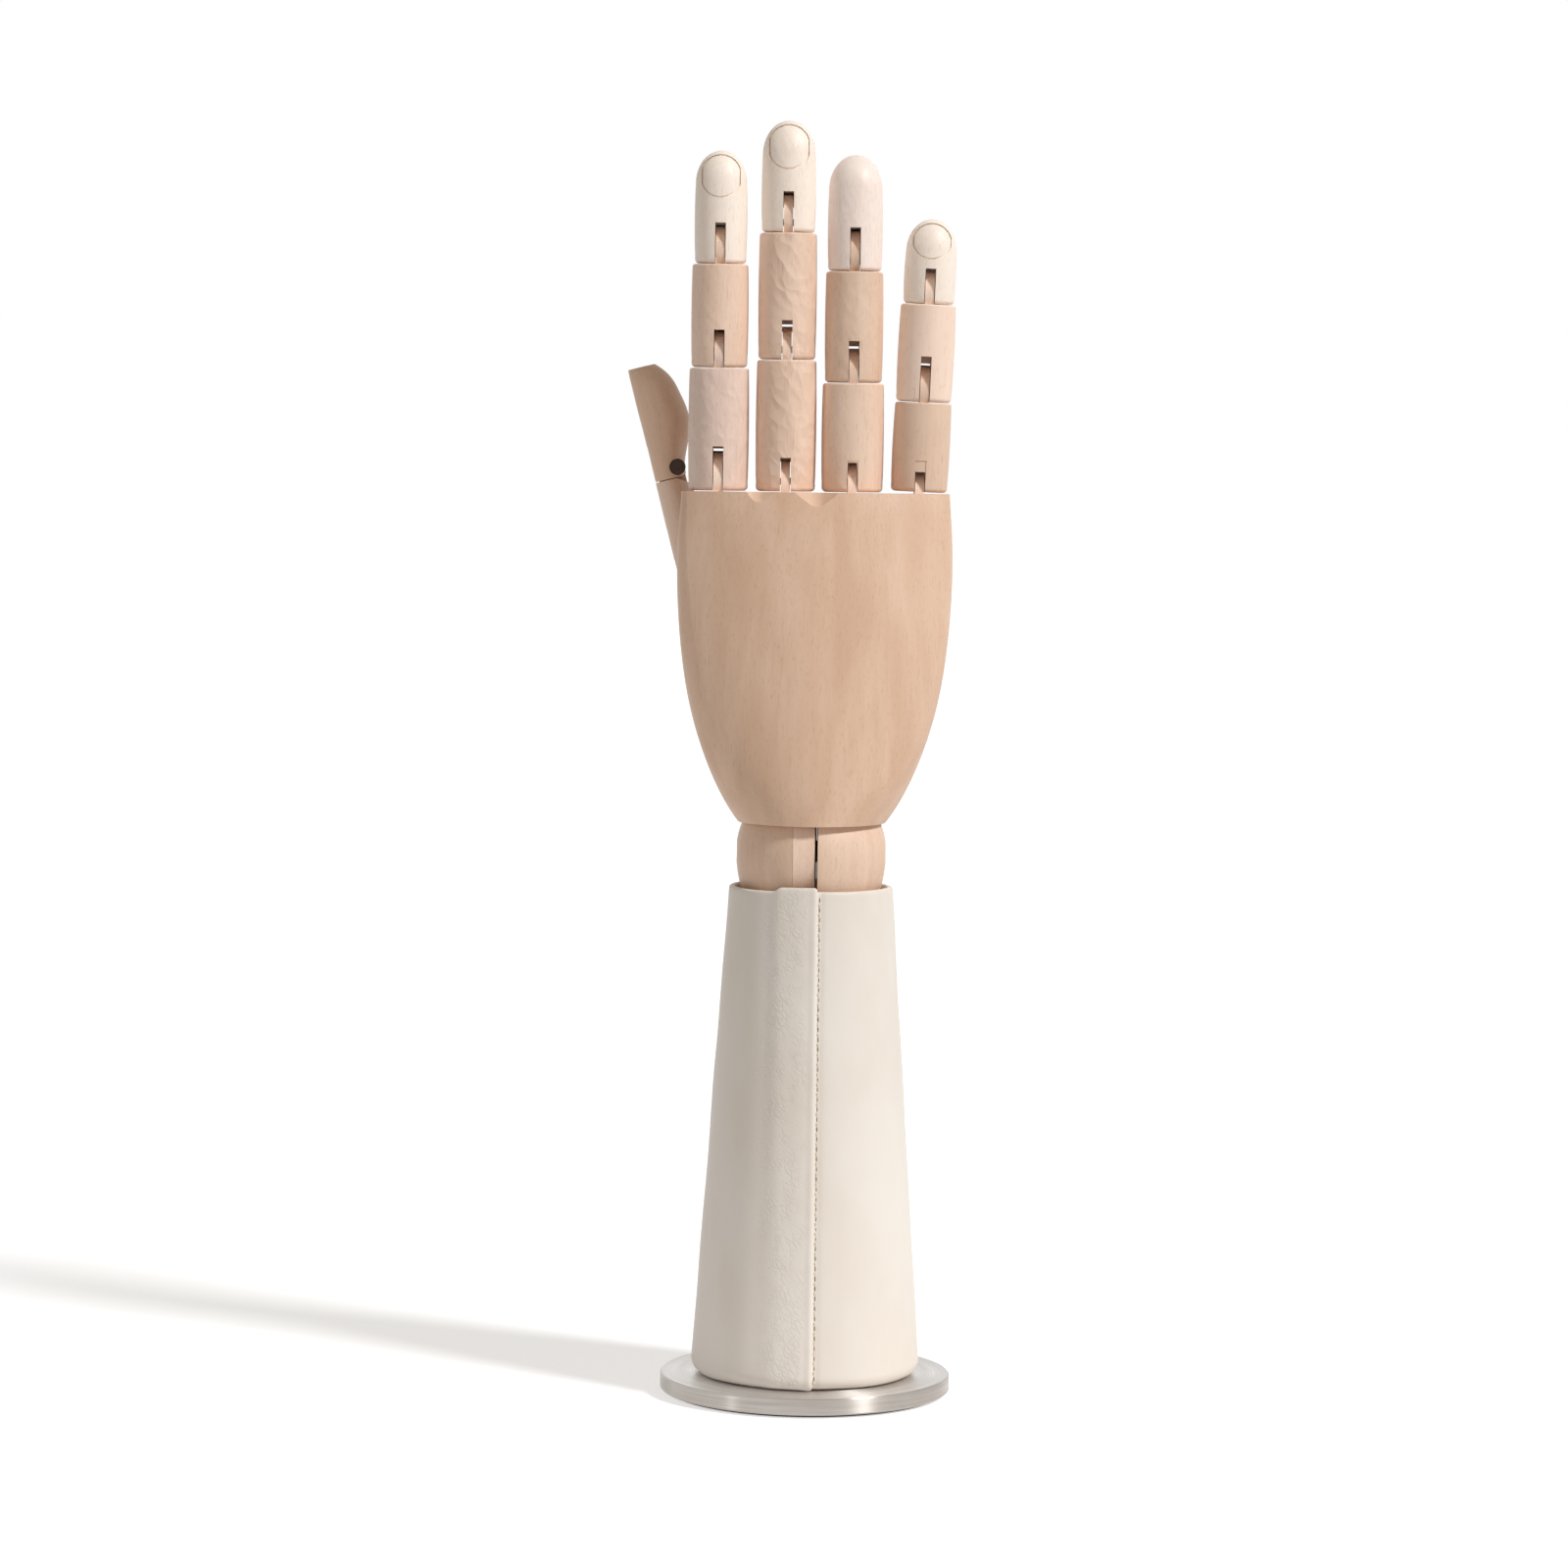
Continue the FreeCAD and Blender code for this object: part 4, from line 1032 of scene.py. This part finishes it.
@dataclass
class Finger:
    """Three turned pieces on their pins, and the tongue in the palm that carries them.

    Attributes:
        finishes: the shared finishes.
        name: the start of its pieces' names.
        tones: the tones of its pieces, from the knuckle up.
        seed: the first of its pieces' seeds.
        lean: how far it leans, in degrees.
        carved: how deep the knife's marks on its pieces are, in millimetres.
        place: its middle, across the hand.
        radius: the radius of its lowest piece.
        closed: where wood closes the front of its lowest slot, from and to this far above the palm.
    """

    finishes: Finishes
    name: str
    tones: tuple[Tone, Tone, Tone]
    seed: int
    lean: float = 0.0
    carved: tuple[float, float, float] = (0.0, 0.0, 0.0)
    place: float = 0.0
    radius: float = 0.0
    closed: tuple[float, ...] = ()

    PARTS = ("proximal", "middle", "distal")
    # The top of the palm, and half the width, the depth and the fineness of the wood that closes a slot.
    PALM_TOP = 310.2 * MM
    HALF_SLOT = 1.95 * MM
    PLUG_DEPTH = 2.6 * MM
    PLUG_STEPS = 6

    def build(self) -> None:
        """Dresses the finger."""
        tongue = Wood(f"{self.name}_tongue_wood", Tone.PALE, self.seed + 3, self.lean)
        dress(f"{self.name}_knuckle_tongue", tongue.material())
        for i, (part, tone, carved) in enumerate(zip(self.PARTS, self.tones, self.carved)):
            name = f"{self.name}_{part}"
            material = Wood(f"{name}_wood", tone, self.seed + i, self.lean, carved=carved).material()
            dress(name, material)
            dress(f"{name}_pin", self.finishes.screw)
            if i == 0 and self.closed:
                self.close_slot(material)

    def close_slot(self, material: bpy.types.Material) -> None:
        """Makes the wood that closes the front of the lowest slot above its tongue.

        Args:
            material: the wood of the piece round the slot.
        """
        steps, points, faces = self.PLUG_STEPS, [], []
        back = -self.radius + self.PLUG_DEPTH
        for height in self.closed:
            for i in range(steps + 1):
                x = self.HALF_SLOT * (2 * i / steps - 1)
                points += [(x, -math.sqrt(self.radius**2 - x**2), height), (x, back, height)]
        row = 2 * (steps + 1)
        for a in range(0, 2 * steps, 2):
            faces += [(a, a + 2, a + 2 + row, a + row), (a + 1, a + 1 + row, a + 3 + row, a + 3)]
            faces += [(a, a + 1, a + 3, a + 2), (a + row, a + 2 + row, a + 3 + row, a + 1 + row)]
        faces += [(0, row, row + 1, 1), (row - 2, row - 1, 2 * row - 1, 2 * row - 2)]
        foot = Matrix.Translation((self.place, 0.0, self.PALM_TOP))
        turn = foot @ Matrix.Rotation(math.radians(self.lean), 4, "Y")
        placed = [turn @ Vector(point) for point in points]
        piece = make_piece(f"{self.name}_slot_top", placed, faces, [material])
        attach(piece, f"{self.name}_proximal")
        LOG.info("closed the top of the slot of %s", self.name)


@dataclass
class Thumb:
    """The thumb's base, its two upper pieces and the dark screws across their joints."""

    finishes: Finishes
    lean: float = -14.2

    TONES = {"base": Tone.PALM, "proximal": Tone.TAN, "distal": Tone.PALM}
    SCREWS = ("swivel", "proximal", "distal")
    SEED = 31

    def build(self) -> None:
        """Dresses the thumb."""
        for i, (part, tone) in enumerate(self.TONES.items()):
            wood = Wood(f"thumb_{part}_wood", tone, self.SEED + i, self.lean)
            dress(f"thumb_{part}", wood.material())
        for joint in self.SCREWS:
            dress(f"thumb_{joint}_screw", self.finishes.dark)


@dataclass(frozen=True)
class Lamp:
    """A lamp that stands far off.

    Attributes:
        name: its name.
        azimuth: how far right of the camera it stands, in degrees.
        height: how high it stands, in degrees.
        strength: how strong it is.
        spread: how large it looks, in degrees.
    """

    name: str
    azimuth: float
    height: float
    strength: float
    spread: float

    def build(self) -> None:
        """Sets up the lamp."""
        sun = bpy.data.lights.new(self.name, "SUN")
        sun.energy = self.strength
        sun.angle = math.radians(self.spread)
        a, e = math.radians(self.azimuth), math.radians(self.height)
        towards = Vector((math.sin(a) * math.cos(e), -math.cos(a) * math.cos(e), math.sin(e)))
        put(self.name, sun).rotation_euler = towards.to_track_quat("Z", "Y").to_euler()


@dataclass
class Studio:
    """The white floor, the lamps and the camera.

    Attributes:
        distance: the camera's distance from the middle of the hand.
        height: the camera's height.
        across: where the camera stands across the hand, below 0 for left of its middle.
        pitch: how far it looks down, in degrees.
        roll: how far it is turned, in degrees, because the arm in the picture leans to the right.
        lens: its focal length in millimetres.
        sensor: the width of its sensor in millimetres.
        lamps: the main lamp and a faint second one.
        fill: how bright the room is.
        table_middle: how far round the base the table throws back most light.
        table_edge: beyond this it throws back the least.
        table_glow: the light that its middle adds.
    """

    distance: float = 1617 * MM
    height: float = 321 * MM
    across: float = -9.6 * MM
    pitch: float = 3.92
    roll: float = 0.7
    lens: float = 108.4
    sensor: float = 36.0
    lamps: tuple[Lamp, ...] = (Lamp("key", 55.0, 40.0, 2.45, 10.0), Lamp("window", -60.0, 12.0, 0.15, 6.0))
    fill: float = 0.29
    table_middle: float = 150 * MM
    table_edge: float = 500 * MM
    table_glow: float = 0.2

    # The nearest and farthest that the camera sees, in metres.
    CLIP = (0.05, 100.0)
    WHITE = (1.0, 1.0, 1.0, 1.0)
    WARM = (1.0, 0.92, 0.82, 1.0)
    FLOOR_FAR = (0.6, 0.6, 0.6)
    FLOOR_NEAR = (0.82, 0.82, 0.82)
    # What the floor adds to its own light where it is looked at, and how much less of that near the base.
    FLOOR_SHOWN = 0.665
    FLOOR_LESS = 0.14
    # Half the floor's width, and how far it lies below the rubber pad, so that the two never touch.
    FLOOR_HALF = 20.0
    FLOOR_DROP = 0.2 * MM

    def camera(self) -> None:
        """Sets up the camera."""
        lens = bpy.data.cameras.new("camera")
        lens.lens = self.lens
        lens.sensor_width = self.sensor
        lens.clip_start, lens.clip_end = self.CLIP
        tilt = Matrix.Rotation(math.radians(90 - self.pitch), 4, "X")
        turn = tilt @ Matrix.Rotation(math.radians(self.roll), 4, "Z")
        camera = put("camera", lens)
        camera.matrix_world = Matrix.Translation((self.across, -self.distance, self.height)) @ turn
        bpy.context.scene.camera = camera

    def room(self) -> None:
        """Sets up the light of the white room."""
        g = Graph("white_room", "worlds")
        bpy.context.scene.world = g.owner
        light = g.add("Background", {"Color": self.WARM, "Strength": self.fill}).outputs[0]
        shown = g.add("Background", {"Color": self.WHITE}).outputs[0]
        either = g.add("MixShader", {0: g.seen(), 1: light, 2: shown}).outputs[0]
        g.add("OutputWorld", {"Surface": either})

    def floor(self) -> None:
        """Lays the white floor, which keeps the shadow."""
        g = Graph("white_floor")
        place = g.add("TexCoord").outputs["Object"]
        reach = g.add("VectorMath", {0: place}, operation="LENGTH").outputs["Value"]
        near = g.band(reach, self.table_edge, self.table_middle)
        matt = g.add("BsdfDiffuse", {"Color": g.mix(near, self.FLOOR_FAR, self.FLOOR_NEAR)}).outputs[0]
        shown = g.maths("SUBTRACT", self.FLOOR_SHOWN, g.times(near, self.FLOOR_LESS))
        lit = g.times(near, self.table_glow)
        strength = g.add("Mix", {0: g.seen(), 2: lit, 3: shown}, data_type="FLOAT").outputs[0]
        glow = g.add("Emission", {"Color": self.WHITE, "Strength": strength}).outputs[0]
        g.add("OutputMaterial", {"Surface": g.add("AddShader", {0: matt, 1: glow}).outputs[0]})
        side = self.FLOOR_HALF
        corners = [(-side, -side, 0), (side, -side, 0), (side, side, 0), (-side, side, 0)]
        plane = make_piece("floor", corners, [(0, 1, 2, 3)], [g.owner])
        plane.location.z = -self.FLOOR_DROP

    def build(self) -> None:
        """Sets up the studio."""
        bpy.context.scene.view_settings.view_transform = "Standard"
        self.camera()
        for lamp in self.lamps:
            lamp.build()
        self.room()
        self.floor()


def main() -> None:
    """Builds every part of the scene in order."""
    logging.basicConfig(level=logging.INFO, format="%(message)s")
    Studio().build()
    finishes = Finishes()
    fingers = (
        Finger(finishes, "index", (Tone.ROSE, Tone.SAND, Tone.TIP_WITH_PAINTED_LIGHT), 10, carved=(0.4, 0.15, 0.0)),
        Finger(finishes, "middle", (Tone.SAND, Tone.SAND, Tone.TIP_WITH_PAINTED_LIGHT), 15, carved=(0.55, 0.5, 0.1)),
        Finger(
            finishes,
            "ring",
            (Tone.SAND, Tone.TAN, Tone.TIP_ROSE_WITH_PAINTED_LIGHT),
            20,
            carved=(0.1, 0.25, 0.15),
            place=12.4 * MM,
            radius=10.35 * MM,
            closed=(10.3 * MM, 11.9 * MM),
        ),
        Finger(
            finishes,
            "little",
            (Tone.TAN, Tone.PALE, Tone.TIP_WITH_PAINTED_LIGHT),
            25,
            lean=2.2,
            place=35.2 * MM,
            radius=9.55 * MM,
            closed=(7.5 * MM, 11.9 * MM),
        ),
    )
    for part in (Base(finishes), Forearm(finishes), Wrist(finishes), Palm(), *fingers, Thumb(finishes)):
        part.build()


if __name__ == "__main__":
    main()
